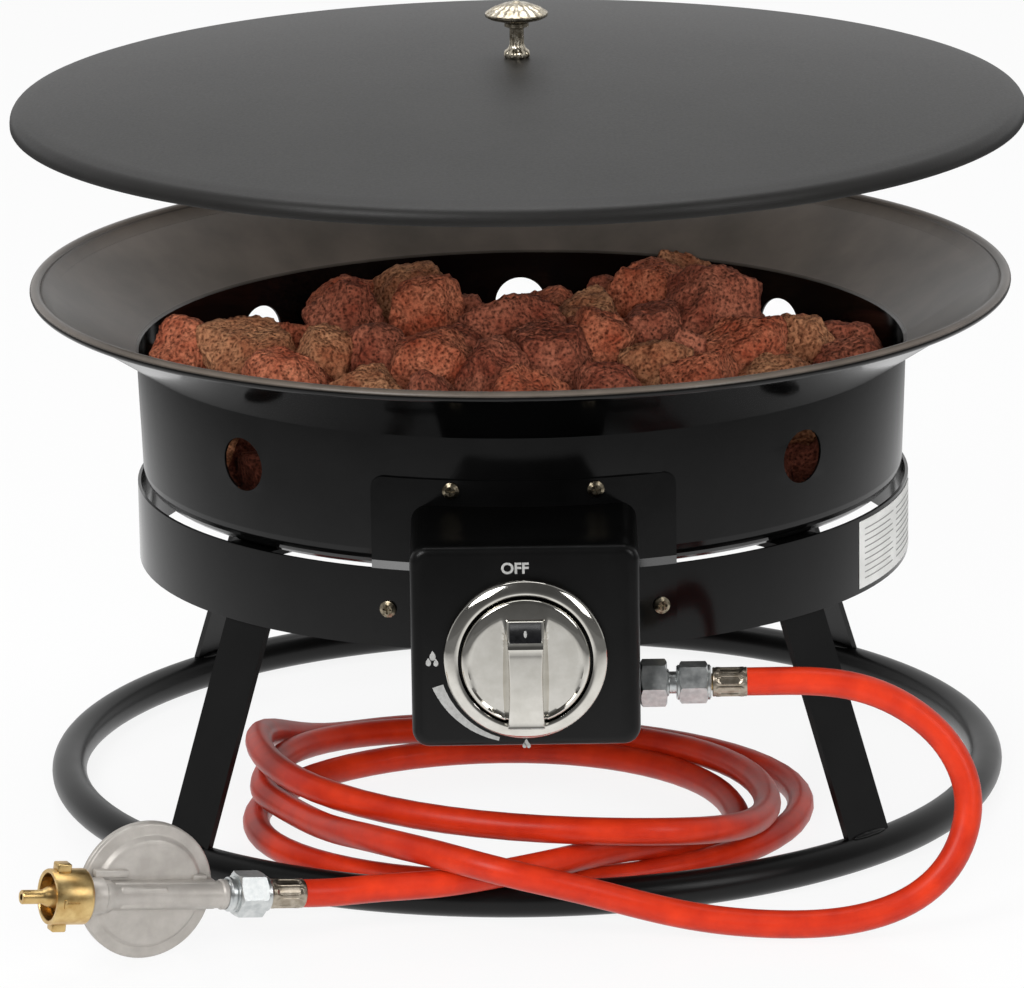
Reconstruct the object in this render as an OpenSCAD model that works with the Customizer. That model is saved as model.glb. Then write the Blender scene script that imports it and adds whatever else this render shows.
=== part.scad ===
// Tabletop gas fire pit: a pressed bowl of lava rocks on a ring stand, with a valve box,
// a gas hose, a bottle regulator and a lift-off lid.
// The origin is on the bowl's axis, at the height that the base ring stands on; the front is -Y.

/* [Base ring] */
// Radius of the base ring, to the middle of its tube
ring_r = 229.3; // [215:0.1:245]
// Outer radius of the ring's tube
ring_tube_r = 8.6; // [7:0.1:11]
// Wall of the ring's tube
ring_wall = 1.5; // [1:0.1:3]

/* [Legs] */
// Width of a leg's strap
leg_w = 28; // [18:1:34]
// Thickness of a leg's strap
leg_t = 3; // [2:0.1:4]
// Height of the knee, where the strap turns upright
knee_z = 119; // [100:1:130]
// Outer radius of the strap's upper bend
leg_bend_r = 5; // [4:0.5:8]
// Distance from the bowl's wall in to the leg screws
leg_screw_inset = 18; // [12:1:28]
// Radius of the leg screws' shank
leg_bolt_r = 2.4; // [2:0.1:3]

/* [Bowl] */
// Outer radius of the bowl's wall just above its corner
bowl_r = 188; // [182:0.5:194]
// How far the wall leans out between its corner and the crease
bowl_draft = 2; // [0:0.1:3]
// Height of the bowl's underside
bowl_floor_z = 155.5; // [150:0.5:170]
// Outer radius of the corner between floor and wall
bowl_corner_r = 10; // [6:0.5:14]
// Height of the crease above the underside
bowl_wall_h = 67; // [60:0.5:75]
// Height of the flare, from the crease to the top of the rim
flare_h = 35; // [28:0.5:42]
// Outer radius of the rolled rim
rim_r = 241.3; // [230:0.1:250]
// Radius of the rolled edge
rim_bead_r = 2.6; // [2:0.1:3.5]
// Thickness of the bowl's and the lid's sheet
sheet_t = 1.2; // [0.8:0.1:1.6]
// Radius of the air holes
vent_r = 13; // [8:0.5:16]
// Height of the air holes' middle
vent_z = 197; // [192:0.5:204]

/* [Support band] */
// Gap between the bowl's wall and the band's inside
band_step = 1.5; // [1:0.1:3]
// Thickness of the band
band_t = 1.5; // [1:0.1:2.5]
// Height of the band
band_h = 38; // [32:0.5:44]
// How far the band reaches above the bowl's underside
band_rise = 1.5; // [0:0.1:2]

/* [Mounting plate] */
// Width of the plate
plate_w = 144; // [130:1:160]
// Height of the plate
plate_h = 80; // [76:0.5:84]
// Thickness of the plate
plate_t = 1.2; // [1:0.1:2]
// Half the distance between the upper screws
top_screw_x = 34; // [28:0.5:44]
// Half the distance between the ear screws
ear_screw_x = 64; // [60:0.5:66]
// Height of the upper screws
top_screw_z = 197; // [194:0.5:198]
// Height of the ear screws
ear_screw_z = 138; // [132:0.5:145]
// Radius of the plate screws' shank
plate_bolt_r = 1.9; // [1.5:0.1:2.2]

/* [Control box] */
// Width of the box
box_w = 106; // [98:0.5:114]
// Height of the box
box_h = 96.5; // [90:0.5:100]
// Height of the box's underside
box_z = 93; // [88:0.5:98]
// Distance from the band to the box's front
box_depth = 69; // [64:0.5:80]
// Radius of the box's corners
box_corner_r = 8; // [4:0.5:12]
// Thickness of the box's sheet
box_t = 1.2; // [1:0.1:2]

/* [Knob] */
// Height of the knob's axis above the box's underside
knob_rise = 43.3; // [42:0.1:45]
// Outer radius of the bezel
bezel_r = 38; // [35:0.5:41]
// Thickness of the bezel
bezel_h = 7; // [5:0.5:9]
// Radius of the knob
knob_r = 30; // [27:0.5:31]
// Radial gap between the knob and the bezel
knob_gap = 1; // [0.5:0.1:2]
// Width of the knob's grip bar
grip_w = 15.5; // [12:0.5:20]
// Height of the grip bar's front above the box
grip_h = 24; // [20:0.5:27]
// How far the knob pushes in
push_travel = 3; // [2:0.5:3]

/* [Valve] */
// Radius of the valve's stem
stem_r = 4; // [3:0.1:5]
// Running clearance of the stem, on the radius
stem_clear = 0.05; // [0.02:0.01:0.1]
// Width of the valve's block
valve_w = 24; // [20:0.5:28]
// Depth of the valve's block
valve_d = 24; // [20:0.5:26]
// Distance from the box's front to the valve's block
valve_back = 12; // [11:0.5:14]
// Height of the valve's block
valve_h = 54; // [50:0.5:58]
// Height of the gas inlet below the knob's axis
inlet_drop = 20.3; // [18:0.1:22]
// Radius of the gas passages
gas_bore_r = 2; // [1.5:0.1:2.5]

/* [Burner] */
// Radius of the burner ring, to the middle of its tube
burner_r = 95; // [85:1:105]
// Radius of the burner's tube
burner_tube_r = 7; // [5:0.5:8]
// Height of the burner's axis above the bowl's underside
burner_rise = 20.5; // [18:0.5:22]
// Outer radius of the mixing tube
venturi_r = 9; // [8:0.5:10]
// Number of gas ports in the burner ring
port_count = 16; // [8:1:24]

/* [Lid] */
// How far the lid's edge stands outside the rim
lid_overhang = 7.2; // [3:0.1:9]
// Height of the lifted lid's edge
lid_z = 337.5; // [310:0.5:360]
// Height of the lid's upright side
lid_side = 8; // [7.5:0.5:12]
// Rise of the lid's dome
lid_dome = 20; // [10:0.5:24]
// Outer radius of the lid's shoulder
lid_shoulder_r = 6; // [3:0.5:7]
// Radius of the lid knob's head
lid_knob_r = 15.5; // [12:0.5:18]
// Height of the lid knob
lid_knob_h = 28; // [26:0.1:34]

/* [Gas hose] */
// Outer radius of the hose
hose_r = 6.6; // [6:0.1:6.7]
// Radius of the ferrules
ferrule_r = 7; // [6.8:0.1:8]
// Size of the hose nut at the valve, across its flats
valve_nut_af = 17.6; // [16:0.1:19]
// Size of the inlet hexagon, across its flats
inlet_af = 20; // [18:0.1:21]
// Size of the hose nut at the regulator, across its flats
regulator_nut_af = 19.5; // [17:0.1:21]

/* [Regulator] */
// Radius of the regulator's round case
case_r = 32.5; // [30:0.1:32.5]
// Radius of the raised part of the case
case_face_r = 25.5; // [22:0.5:28]
// Radius of the regulator's outlet tube
outlet_r = 6.5; // [5.5:0.1:7]
// Radius of the union nut
union_r = 13; // [12:0.1:15]
// Length of the union nut
union_l = 19; // [17:0.5:21]
// Radius of the bottle nozzle
nozzle_r = 3.3; // [3:0.1:3.6]

/* [Rocks] */
// Height of the floor that the upper rocks lie on, above the bowl's underside
rock_layer = 30; // [29.8:0.1:33]
// Distance that the rocks keep to the bowl's wall
rock_wall_gap = 6; // [5:0.5:9]
// Gap between two rocks that touch
rock_gap = 0.3; // [0.2:0.05:0.6]

/* [Hidden] */
$fn = 96;
weld_gap = 0.1;
seam_gap = 0.2;
rest_gap = 0.3;
bolt_clear = 0.2;
nut_clear = 0.05;
eps = 1;

bowl_top_z = bowl_floor_z + bowl_wall_h;
rim_top_z = bowl_top_z + flare_h;
bowl_inside_z = bowl_floor_z + sheet_t;
corner_top_z = bowl_floor_z + bowl_corner_r;
rim_bead_x = rim_r - rim_bead_r;
rim_bead_z = rim_top_z - rim_bead_r;
vent_angles = [0, 45, 90, 135, 180, 225, 315];

band_in_r = bowl_r + band_step;
band_out_r = band_in_r + band_t;
band_top_z = bowl_floor_z + band_rise;
band_bottom_z = band_top_z - band_h;

label_start = -32;
label_turn = 26;
label_low = 2.5;
label_high = 2;
label_t = 0.3;

leg_face_r = band_in_r - 0.5;
leg_foot_r = ring_r + leg_t / 2;
leg_foot_z = 2 * ring_tube_r;
leg_sink = ring_tube_r * 0.8;
leg_angles = [45, 135, 225, 315];
leg_screw_r = bowl_r - leg_screw_inset;
tab_end_r = leg_screw_r - 7;
leg_head_r = 4.2;
leg_head_h = 2.8;
leg_nut_h = 4;

plate_z = top_screw_z + 5 - plate_h;
plate_low_r = band_out_r + seam_gap + plate_t;
plate_high_r = wall_r(plate_z + plate_h) + seam_gap + plate_t;
joggle_low_z = band_top_z + 0.5;
joggle_high_z = joggle_low_z + 3.5;
plate_corner_r = 6;
screw_head_r = 4;
screw_head_h = 2.2;
plate_nut_h = 3.2;
plate_nut_r = 4.04;

front_y = -band_out_r - box_depth;
knob_z = box_z + knob_rise;
inlet_z = knob_z - inlet_drop;
valve_mid = valve_back + valve_d / 2;
valve_y = front_y + valve_mid;
valve_low_z = inlet_z - 12;
valve_top_z = valve_low_z + valve_h;
valve_ear_x = valve_w / 2 + 4;
valve_boss_r = 4;
nose_h = 1;
nose_r = 9;

bezel_in_r = knob_r + knob_gap;
knob_back = push_travel + 0.5;
knob_face = 10;
knob_cavity_r = knob_r - 4;
knob_cavity = knob_back + 3.7;
window_w = 9;
window_h = 8;
window_t = 0.8;
window_y = 12;
collar_r = 8;
collar_back = box_t + 1;
collar_h = 1.5;
stem_in = valve_back + 8;
stem_out = grip_h - 6;

feed_z = bowl_floor_z + burner_rise;
jet_y = valve_y + 14;
jet_af = 11;
venturi_start_y = jet_y + 3;
venturi_wall = 1;
venturi_neck_r = burner_tube_r - 0.5;
feed_gap = 0.3;
feed_hole_r = venturi_r + feed_gap;

lid_r = rim_r + lid_overhang;
lid_shoulder_z = lid_z + lid_side;
lid_crown_z = lid_shoulder_z + lid_dome;
lid_arc_r = (pow(lid_r, 2) + pow(lid_dome, 2)) / (2 * lid_dome);
lid_bolt_r = 2;
lid_foot_r = 6.7;
lid_neck_r = 3.65;
lid_collar_r = 6;
lid_collar_z = 17.5;
lid_head_z = 21;
lid_washer_t = 0.8;

inlet_face = box_w / 2 + rest_gap;
inlet_hex_l = 12.4;
inlet_neck_l = 4.3;
inlet_neck_r = 5.2;
spigot_r = 5.8;
valve_nut_l = 16.3;
ferrule_gap = 0.5;
ferrule_l = 16.2;
nipple_r = 4;
valve_nut_x = inlet_face + inlet_hex_l + inlet_neck_l;
ferrule_x = valve_nut_x + valve_nut_l + ferrule_gap;

regulator_at = [-106, -256, 22];
regulator_turn = 205;
regulator_tilt = 8;
end_ferrule_l = 17.6;
end_nut_l = 21.8;
case_s = 75.5;
case_y = -8;
case_back = 8;
case_wall = 1.5;
case_flange_t = 4;
case_front_t = 3;
tube_end_s = 108.7;
union_wall = 4;
union_bore_r = union_r - 2.1;
nozzle_shank_r = 5;
nozzle_end_s = 141;
flange_r = 8;
flange_l = 3;

// Route of the hose from the valve's ferrule, down in a wide loop and across the front.
LEAD = [
    [103, -236, 116], [116, -236, 116], [132, -236, 116], [151, -236, 114],
    [169, -237, 108], [185, -239, 98], [197, -242, 86], [204, -246, 72],
    [206, -249, 60], [204, -254, 47], [198, -258, 34], [188, -262, 23],
    [173, -265, 14], [154, -267, 9], [135, -268, 7], [112, -267, 7],
    [90, -264, 8], [70, -262, 11], [51, -262, 16], [33, -264, 22],
    [14, -267, 28], [-5, -268, 33], [-23, -262, 36], [-38, -249, 36.5],
    [-52, -237, 36.5], [-66, -223, 35.5], [-80, -203, 33], [-95, -175, 27],
    [-109, -144, 24], [-121, -119, 23], [-128, -104, 23], [-130, -94, 23]
];
// Quarter points of the coil's turns and how soon the hose climbs or falls after each.
COIL = [
    [-130, -80, 23, 1], [-38, 39, 11, 1], [119, -110, 19, 1], [44, -221, 38.3, 1],
    [-135, -66, 40, 1.5], [-50, 60, 6.7, 1], [138, -74, 6.7, 1], [-4, -203, 6.7, 1],
    [-136, -95, 6.7, 1], [-12, 17, 6.7, 1], [103, -96, 6.7, 1]
];
// Route of the hose from the coil to the regulator's ferrule.
TAIL = [
    [103, -110, 6.7], [102, -118, 6.7], [97, -134, 7], [87, -150, 9],
    [75, -165, 13], [62, -178, 18], [48, -191, 21], [33, -204, 23],
    [14, -221, 24], [-5, -234, 24.5], [-23, -241, 23.5], [-37, -243, 22],
    [-51, -244, 21], [-65, -244, 20.5], [-79, -246, 20], [-94, -250.5, 20],
    [-106, -256, 22]
];
coil_steps = 6;
coil_fine_steps = 24;
coil_sides = 6;
hose_sides = 10;

// Upper rocks: where the middle of each lies, its half width and how far it stands up.
ROCKS_RED = [
    [-170, 10, 213, 19], [-118, 48, 214, 22], [-90, 140, 207, 21], [-48, 55, 219, 24],
    [-45, -40, 221, 21], [12, 95, 219, 25], [62, 108, 214, 25], [107, -15, 219, 22],
    [141, 55, 213, 17], [-115, -65, 211, 24], [0, -95, 212, 24], [85, -70, 212, 22],
    [-60, -143, 206, 27], [65, -128, 207, 23], [39, 2, 221, 20], [0, 152, 204, 26]
];
ROCKS_TAN = [
    [-135, -5, 217, 23], [-52, 135, 209, 22], [66, -45, 221, 16], [86, 148, 207, 25],
    [139, 5, 214, 19], [-97, -20, 221, 17], [-155, 55, 206, 21], [-75, -88, 213, 22],
    [125, -60, 209, 22], [-20, -142, 207, 20], [30, 55, 224, 17], [-150, -75, 207, 21],
    [-125, 98, 207, 22]
];
ROCKS_DARK = [
    [-88, 72, 219, 19], [-72, -15, 221, 16], [-29, -12, 221, 15], [-5, 25, 226, 26],
    [93, 50, 219, 26], [120, 88, 213, 17], [163, 30, 208, 17], [64, 22, 221, 16],
    [79, -22, 221, 15], [12, -30, 221, 22], [-16, -60, 220, 18], [45, 150, 202, 17],
    [-40, -95, 212, 19], [42, -90, 213, 20], [105, -108, 206, 23], [25, -145, 205, 21],
    [-105, -115, 206, 24], [158, -35, 207, 20], [-28, 95, 216, 18], [140, 100, 205, 16]
];
ROCKS_UP = concat(ROCKS_RED, ROCKS_TAN, ROCKS_DARK);
rock_heap_h = 23.5;
inner_rock_at = 55;
inner_rock_r = 30;
outer_rock_at = 133;
outer_rock_r = 31;
rock_floor_z = bowl_inside_z + 0.5;
rock_layer_z = bowl_floor_z + rock_layer;
rock_low_z = (rock_floor_z + rock_layer_z) / 2;
low_out_r = leg_screw_r - 7;
low_in_r = burner_r - burner_tube_r - 0.5;
low_ring_r = burner_r + burner_tube_r + 0.5;
ROCKS_LOW_IN = concat(
    [[0, 0, rock_low_z, inner_rock_r]],
    [for (a = [30:60:330]) [inner_rock_at * cos(a), inner_rock_at * sin(a), rock_low_z, inner_rock_r]]
);
ROCKS_LOW_OUT = [
    for (i = [0:15])
        [outer_rock_at * cos(22.5 * i + 11.25), outer_rock_at * sin(22.5 * i + 11.25), rock_low_z, outer_rock_r]
];
rock_rings = 5;
rock_around = 8;

// ---- Helpers ----

function unit(v) = v / norm(v);
function left(v) = [-v[1], v[0]];
function wall_r(z) = bowl_r + bowl_draft * (z - corner_top_z) / (bowl_top_z - corner_top_z);

// Points of an arc about a middle, from one angle to another.
function arc(middle, r, from, to, steps) = [
    for (i = [0:steps]) middle + r * [cos(from + (to - from) * i / steps), sin(from + (to - from) * i / steps)]
];

// A point of a line, moved to the left of its direction.
function beside(line, i, t) =
    let (
        a = unit(i > 0 ? line[i] - line[i - 1] : line[1] - line[0]),
        b = unit(i < len(line) - 1 ? line[i + 1] - line[i] : a),
        m = unit(a + b)
    )
    line[i] + t * left(m) / (a * m);

// A sheet of one thickness, to the left of a line.
module sheet(line, t) {
    polygon(concat(line, [for (i = [len(line) - 1:-1:0]) beside(line, i, t)]));
}

module torus(r, tube_r) {
    rotate_extrude() translate([r, 0]) circle(r = tube_r, $fn = 48);
}

module rounded_rect(w, h, r) {
    square([w - 2 * r, h], center = true);
    square([w, h - 2 * r], center = true);
    for (x = [-1, 1], y = [-1, 1])
        translate([x * (w / 2 - r), y * (h / 2 - r)]) circle(r = r, $fn = 48);
}

module hex_bar(af, h) {
    cylinder(r = af / 2 / cos(30), h = h, $fn = 6);
}

// A hollow cylinder.
module tube(r, bore_r, h) {
    difference() {
        cylinder(r = r, h = h);
        translate([0, 0, -eps]) cylinder(r = bore_r, h = h + 2 * eps);
    }
}

// A hexagon nut with a round bore.
module nut(r, bore_r, h) {
    difference() {
        cylinder(r = r, h = h, $fn = 6);
        translate([0, 0, -eps]) cylinder(r = bore_r, h = h + 2 * eps);
    }
}

// A pan head screw with a cross slot; its seat is at z = 0 and its shank points down.
module screw(head_r, head_h, shank_r, shank_l) {
    difference() {
        union() {
            cylinder(r = head_r, h = head_h * 0.55);
            translate([0, 0, head_h * 0.55]) cylinder(r1 = head_r, r2 = head_r * 0.6, h = head_h * 0.45);
        }
        for (a = [0, 90])
            rotate([0, 0, a]) translate([-head_r * 0.55, -0.4, head_h * 0.45]) cube([head_r * 1.1, 0.8, head_h]);
    }
    translate([0, 0, -shank_l]) cylinder(r = shank_r, h = shank_l + head_h * 0.3);
}

// Places a part on the outward radius at an angle, pointing away from the axis.
module on_radius(angle, r, z) {
    rotate([0, 0, angle]) translate([r, 0, z]) rotate([0, 90, 0]) children();
}

// Places a part on the box's front at the knob's axis, pointing out of the box.
module on_front(x = 0, y = 0, out = 0) {
    translate([x, front_y - out, knob_z + y]) rotate([90, 0, 0]) children();
}

// Places a part on the inlet's axis, pointing away from the box.
module on_inlet(x) {
    translate([x, valve_y, inlet_z]) rotate([0, 90, 0]) children();
}

// Places a part in the regulator's frame; x runs along its tube and y faces the front.
module on_regulator() {
    translate(regulator_at) rotate([0, 0, regulator_turn]) rotate([0, -regulator_tilt, 0]) children();
}

// Places a round part on the regulator's tube, pointing to the nozzle.
module on_tube(s) {
    on_regulator() translate([s, 0, 0]) rotate([0, 90, 0]) children();
}

// Places a round part on the axis of the regulator's case, pointing to its face.
module on_case(y) {
    on_regulator() translate([case_s, y, 0]) rotate([-90, 0, 0]) children();
}

function plate_angle(x) = -90 + asin(x / band_out_r);

// Puts one copy at each upper screw and each ear screw, at the radius that is given for each.
module at_plate_screws(top_r, ear_r) {
    for (s = [-1, 1]) {
        on_radius(plate_angle(s * top_screw_x), top_r, top_screw_z) children();
        on_radius(plate_angle(s * ear_screw_x), ear_r, ear_screw_z) children();
    }
}

module at_leg_screws(z) {
    for (a = leg_angles) rotate([0, 0, a]) translate([leg_screw_r, 0, z]) children();
}

// ---- Stand ----

module base_ring() {
    color("#16171a")
    translate([0, 0, ring_tube_r])
    difference() {
        torus(ring_r, ring_tube_r);
        torus(ring_r, ring_tube_r - ring_wall);
    }
}

// The strap's outer side from the base ring to the end of its tab.
function leg_line() =
    let (
        knee = [leg_face_r, knee_z],
        foot = [leg_foot_r, leg_foot_z],
        down = unit(foot - knee)
    )
    concat(
        [foot + leg_sink * down, knee],
        arc([leg_face_r - leg_bend_r, bowl_floor_z - leg_bend_r], leg_bend_r, 0, 90, 4),
        [[tab_end_r, bowl_floor_z]]
    );

module leg(angle) {
    color("#141518")
    difference() {
        rotate([0, 0, angle]) rotate([90, 0, 0]) translate([0, 0, -leg_w / 2])
            linear_extrude(leg_w) sheet(leg_line(), leg_t);
        translate([0, 0, ring_tube_r]) torus(ring_r, ring_tube_r + weld_gap);
        at_leg_screws(bowl_floor_z - leg_t - eps) cylinder(r = leg_bolt_r + bolt_clear, h = leg_t + 2 * eps);
    }
}

module leg_front_left() { leg(225); }
module leg_front_right() { leg(315); }
module leg_back_left() { leg(135); }
module leg_back_right() { leg(45); }

module leg_screws() {
    color("#b9bbbd")
    at_leg_screws(bowl_floor_z - leg_t) mirror([0, 0, 1])
        screw(leg_head_r, leg_head_h, leg_bolt_r, leg_t + sheet_t + leg_nut_h + 1);
}

module leg_nuts() {
    color("#b9bbbd")
    at_leg_screws(bowl_inside_z) nut(4.6, leg_bolt_r + nut_clear, leg_nut_h);
}

module support_band() {
    color("#0f1012")
    difference() {
        translate([0, 0, band_bottom_z]) tube(band_out_r, band_in_r, band_h);
        at_plate_screws(band_in_r + 10, band_in_r - 3) cylinder(r = plate_bolt_r + bolt_clear, h = 8);
    }
}

module blank_label() {
    color("#e9e9e7")
    translate([0, 0, band_bottom_z + label_low]) rotate([0, 0, label_start])
        rotate_extrude(angle = label_turn) translate([band_out_r + weld_gap / 2, 0])
            square([label_t, band_h - label_low - label_high]);
}

// ---- Bowl ----

// The bowl's underside from its axis to the rolled rim.
function bowl_line() = concat(
    [[0, bowl_floor_z]],
    arc([bowl_r - bowl_corner_r, corner_top_z], bowl_corner_r, -90, 0, 6),
    [[wall_r(bowl_top_z), bowl_top_z], [rim_bead_x, rim_bead_z - sheet_t / 2]]
);

module fire_bowl() {
    color("#0c0d0f")
    difference() {
        rotate_extrude() {
            sheet(bowl_line(), sheet_t);
            translate([rim_bead_x, rim_bead_z]) circle(r = rim_bead_r, $fn = 32);
        }
        for (a = vent_angles)
            on_radius(a, bowl_r - 12, vent_z) cylinder(r = vent_r, h = 24);
        on_radius(-90, bowl_r - 12, feed_z) cylinder(r = feed_hole_r, h = 24);
        at_plate_screws(bowl_r - 5, bowl_r + 4) cylinder(r = plate_bolt_r + bolt_clear, h = 8);
        at_leg_screws(bowl_floor_z - eps) cylinder(r = leg_bolt_r + bolt_clear, h = sheet_t + 2 * eps);
    }
}

// ---- Mounting plate and control box ----

module mounting_plate() {
    line = [
        [plate_low_r, plate_z], [plate_low_r, joggle_low_z],
        [plate_high_r, joggle_high_z], [plate_high_r, plate_z + plate_h]
    ];
    color("#121316")
    difference() {
        intersection() {
            rotate_extrude() sheet(line, plate_t);
            translate([0, 0, plate_z + plate_h / 2]) rotate([90, 0, 0])
                linear_extrude(plate_low_r + 10) rounded_rect(plate_w, plate_h, plate_corner_r);
        }
        at_plate_screws(plate_high_r - 5, plate_low_r - 5) cylinder(r = plate_bolt_r + bolt_clear, h = 10);
        on_radius(-90, plate_high_r - 8, feed_z) cylinder(r = feed_hole_r, h = 14);
    }
}

module plate_screws() {
    color("#c9cacb")
    at_plate_screws(plate_high_r, plate_low_r)
        screw(screw_head_r, screw_head_h, plate_bolt_r, 2 * plate_t + band_t + plate_nut_h + 0.4);
}

module plate_nuts() {
    color("#c9cacb")
    at_plate_screws(wall_r(top_screw_z - 4) - sheet_t - weld_gap - plate_nut_h, band_in_r - weld_gap - plate_nut_h)
        nut(plate_nut_r, plate_bolt_r + nut_clear, plate_nut_h);
}

// The space behind the box that the band, the bowl and the plate take up.
module plate_envelope() {
    low = plate_low_r + seam_gap;
    high = plate_high_r + seam_gap;
    rotate_extrude()
        polygon([
            [0, box_z - 10], [low, box_z - 10], [low, joggle_low_z + seam_gap],
            [high, joggle_high_z + seam_gap], [high, box_z + box_h + 10], [0, box_z + box_h + 10]
        ]);
}

module box_block(w, h, r, front) {
    translate([0, -100, box_z + box_h / 2]) rotate([90, 0, 0])
        linear_extrude(-front - 100) rounded_rect(w, h, r);
}

module control_box() {
    color("#101114")
    difference() {
        box_block(box_w, box_h, box_corner_r, front_y);
        box_block(box_w - 2 * box_t, box_h - 2 * box_t, box_corner_r - box_t, front_y + box_t);
        plate_envelope();
        on_front(out = -5) cylinder(r = stem_r + 2, h = 10);
        for (x = [-valve_ear_x, valve_ear_x])
            on_front(x = x, out = -5) cylinder(r = plate_bolt_r + bolt_clear, h = 10);
        on_inlet(box_w / 2 - 5) cylinder(r = spigot_r + 0.6, h = 10);
    }
}

// ---- Knob ----

module knob_bezel() {
    edge = 2;
    color("#d5d7d9")
    on_front()
        rotate_extrude()
            polygon(concat(
                [[bezel_in_r, 0], [bezel_r, 0]],
                arc([bezel_r - edge, bezel_h - edge], edge, 0, 90, 6),
                [[bezel_in_r + 1, bezel_h], [bezel_in_r, bezel_h - 1.5]]
            ));
}

module control_knob() {
    bevel = 1.5;
    color("#d9dadc")
    on_front()
    difference() {
        union() {
            rotate_extrude()
                polygon([
                    [0, knob_back], [knob_r - 0.5, knob_back], [knob_r, knob_back + 0.5],
                    [knob_r, knob_face - bevel], [knob_r - bevel, knob_face],
                    [knob_r - 5, knob_face + 1.2], [0, knob_face + 2.5]
                ]);
            intersection() {
                rotate([90, 0, 90]) translate([0, 0, -grip_w / 2])
                    linear_extrude(grip_w)
                        polygon([
                            [-knob_r - 1, knob_face - 3], [knob_r, knob_face - 3], [knob_r, knob_face],
                            [knob_r * 0.68, grip_h - 1.5], [knob_r * 0.6, grip_h],
                            [-knob_r * 0.9, grip_h], [-knob_r - 1, grip_h - 3]
                        ]);
                cylinder(r = knob_r - 0.3, h = grip_h + 1);
            }
        }
        difference() {
            cylinder(r = knob_cavity_r, h = knob_cavity);
            cylinder(r = stem_r + 3, h = knob_cavity + eps);
        }
        cylinder(r = stem_r + stem_clear, h = stem_out + 0.5);
        translate([0, window_y, grip_h - window_t / 2])
            cube([window_w + 0.2, window_h + 0.2, window_t + 0.02], center = true);
    }
}

module knob_window() {
    color("#17181a")
    on_front(y = window_y, out = grip_h - window_t / 2)
        cube([window_w, window_h, window_t - 0.1], center = true);
}

module valve_stem() {
    color("#c3a15c")
    on_front(out = -stem_in) cylinder(r = stem_r, h = stem_in + stem_out);
}

module stem_collar() {
    color("#8d9093")
    on_front(out = -collar_back - collar_h) tube(collar_r, stem_r + stem_clear * 2, collar_h);
}

module stem_spring() {
    color("#a8abae")
    on_front(out = -valve_back + nose_h)
        tube(collar_r - 1, stem_r + 0.5, valve_back - nose_h - collar_back - collar_h);
}

// ---- Valve and burner ----

module valve_body() {
    mid_y = (valve_low_z + valve_top_z) / 2 - knob_z;
    boss_l = valve_back - box_t - weld_gap;
    color("#b58a45")
    difference() {
        union() {
            on_front(y = mid_y, out = -valve_mid) cube([valve_w, valve_h, valve_d], center = true);
            on_front(out = -valve_back) cylinder(r = nose_r, h = nose_h);
            on_front(out = -valve_back - 2) cube([2 * valve_ear_x + 8, 10, 4], center = true);
            for (x = [-valve_ear_x, valve_ear_x])
                on_front(x = x, out = -valve_back - 2) cylinder(r = valve_boss_r, h = boss_l + 2);
        }
        on_front(out = -valve_mid) cylinder(r = stem_r + stem_clear, h = valve_mid);
        for (x = [-valve_ear_x, valve_ear_x])
            on_front(x = x, out = -valve_back) cylinder(r = plate_bolt_r + nut_clear, h = valve_back);
        on_inlet(0) cylinder(r = gas_bore_r, h = valve_w);
        translate([0, valve_y, inlet_z]) cylinder(r = gas_bore_r, h = valve_h);
    }
}

module valve_screws() {
    color("#c9cacb")
    for (x = [-valve_ear_x, valve_ear_x])
        on_front(x = x) screw(screw_head_r, screw_head_h, plate_bolt_r, valve_back - 1);
}

module inlet_adapter() {
    color("#c6c8ca")
    difference() {
        union() {
            on_inlet(valve_w / 2) cylinder(r = spigot_r, h = inlet_face - valve_w / 2 + 1);
            on_inlet(inlet_face) hex_bar(inlet_af, inlet_hex_l);
            on_inlet(inlet_face + inlet_hex_l - 1) cylinder(r = inlet_neck_r, h = inlet_neck_l + 1);
        }
        on_inlet(0) cylinder(r = gas_bore_r + 0.5, h = valve_nut_x + eps);
    }
}

module outlet_elbow() {
    color("#b58a45")
    difference() {
        union() {
            translate([0, valve_y, valve_top_z]) cylinder(r = 5, h = feed_z - valve_top_z);
            translate([0, valve_y, feed_z]) sphere(r = 5);
            translate([0, valve_y, feed_z]) rotate([-90, 0, 0]) cylinder(r = 5, h = jet_y - valve_y);
        }
        translate([0, valve_y, valve_top_z - eps]) cylinder(r = gas_bore_r, h = feed_z - valve_top_z + eps);
        translate([0, valve_y, feed_z]) rotate([-90, 0, 0]) cylinder(r = gas_bore_r, h = jet_y - valve_y + eps);
    }
}

module gas_jet() {
    color("#c3a15c")
    translate([0, jet_y, feed_z]) rotate([-90, 0, 0])
    difference() {
        union() {
            hex_bar(jet_af, 5);
            translate([0, 0, 5]) cylinder(r1 = 4, r2 = 2.5, h = 5);
        }
        translate([0, 0, -eps]) cylinder(r = 0.6, h = 12);
    }
}

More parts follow.
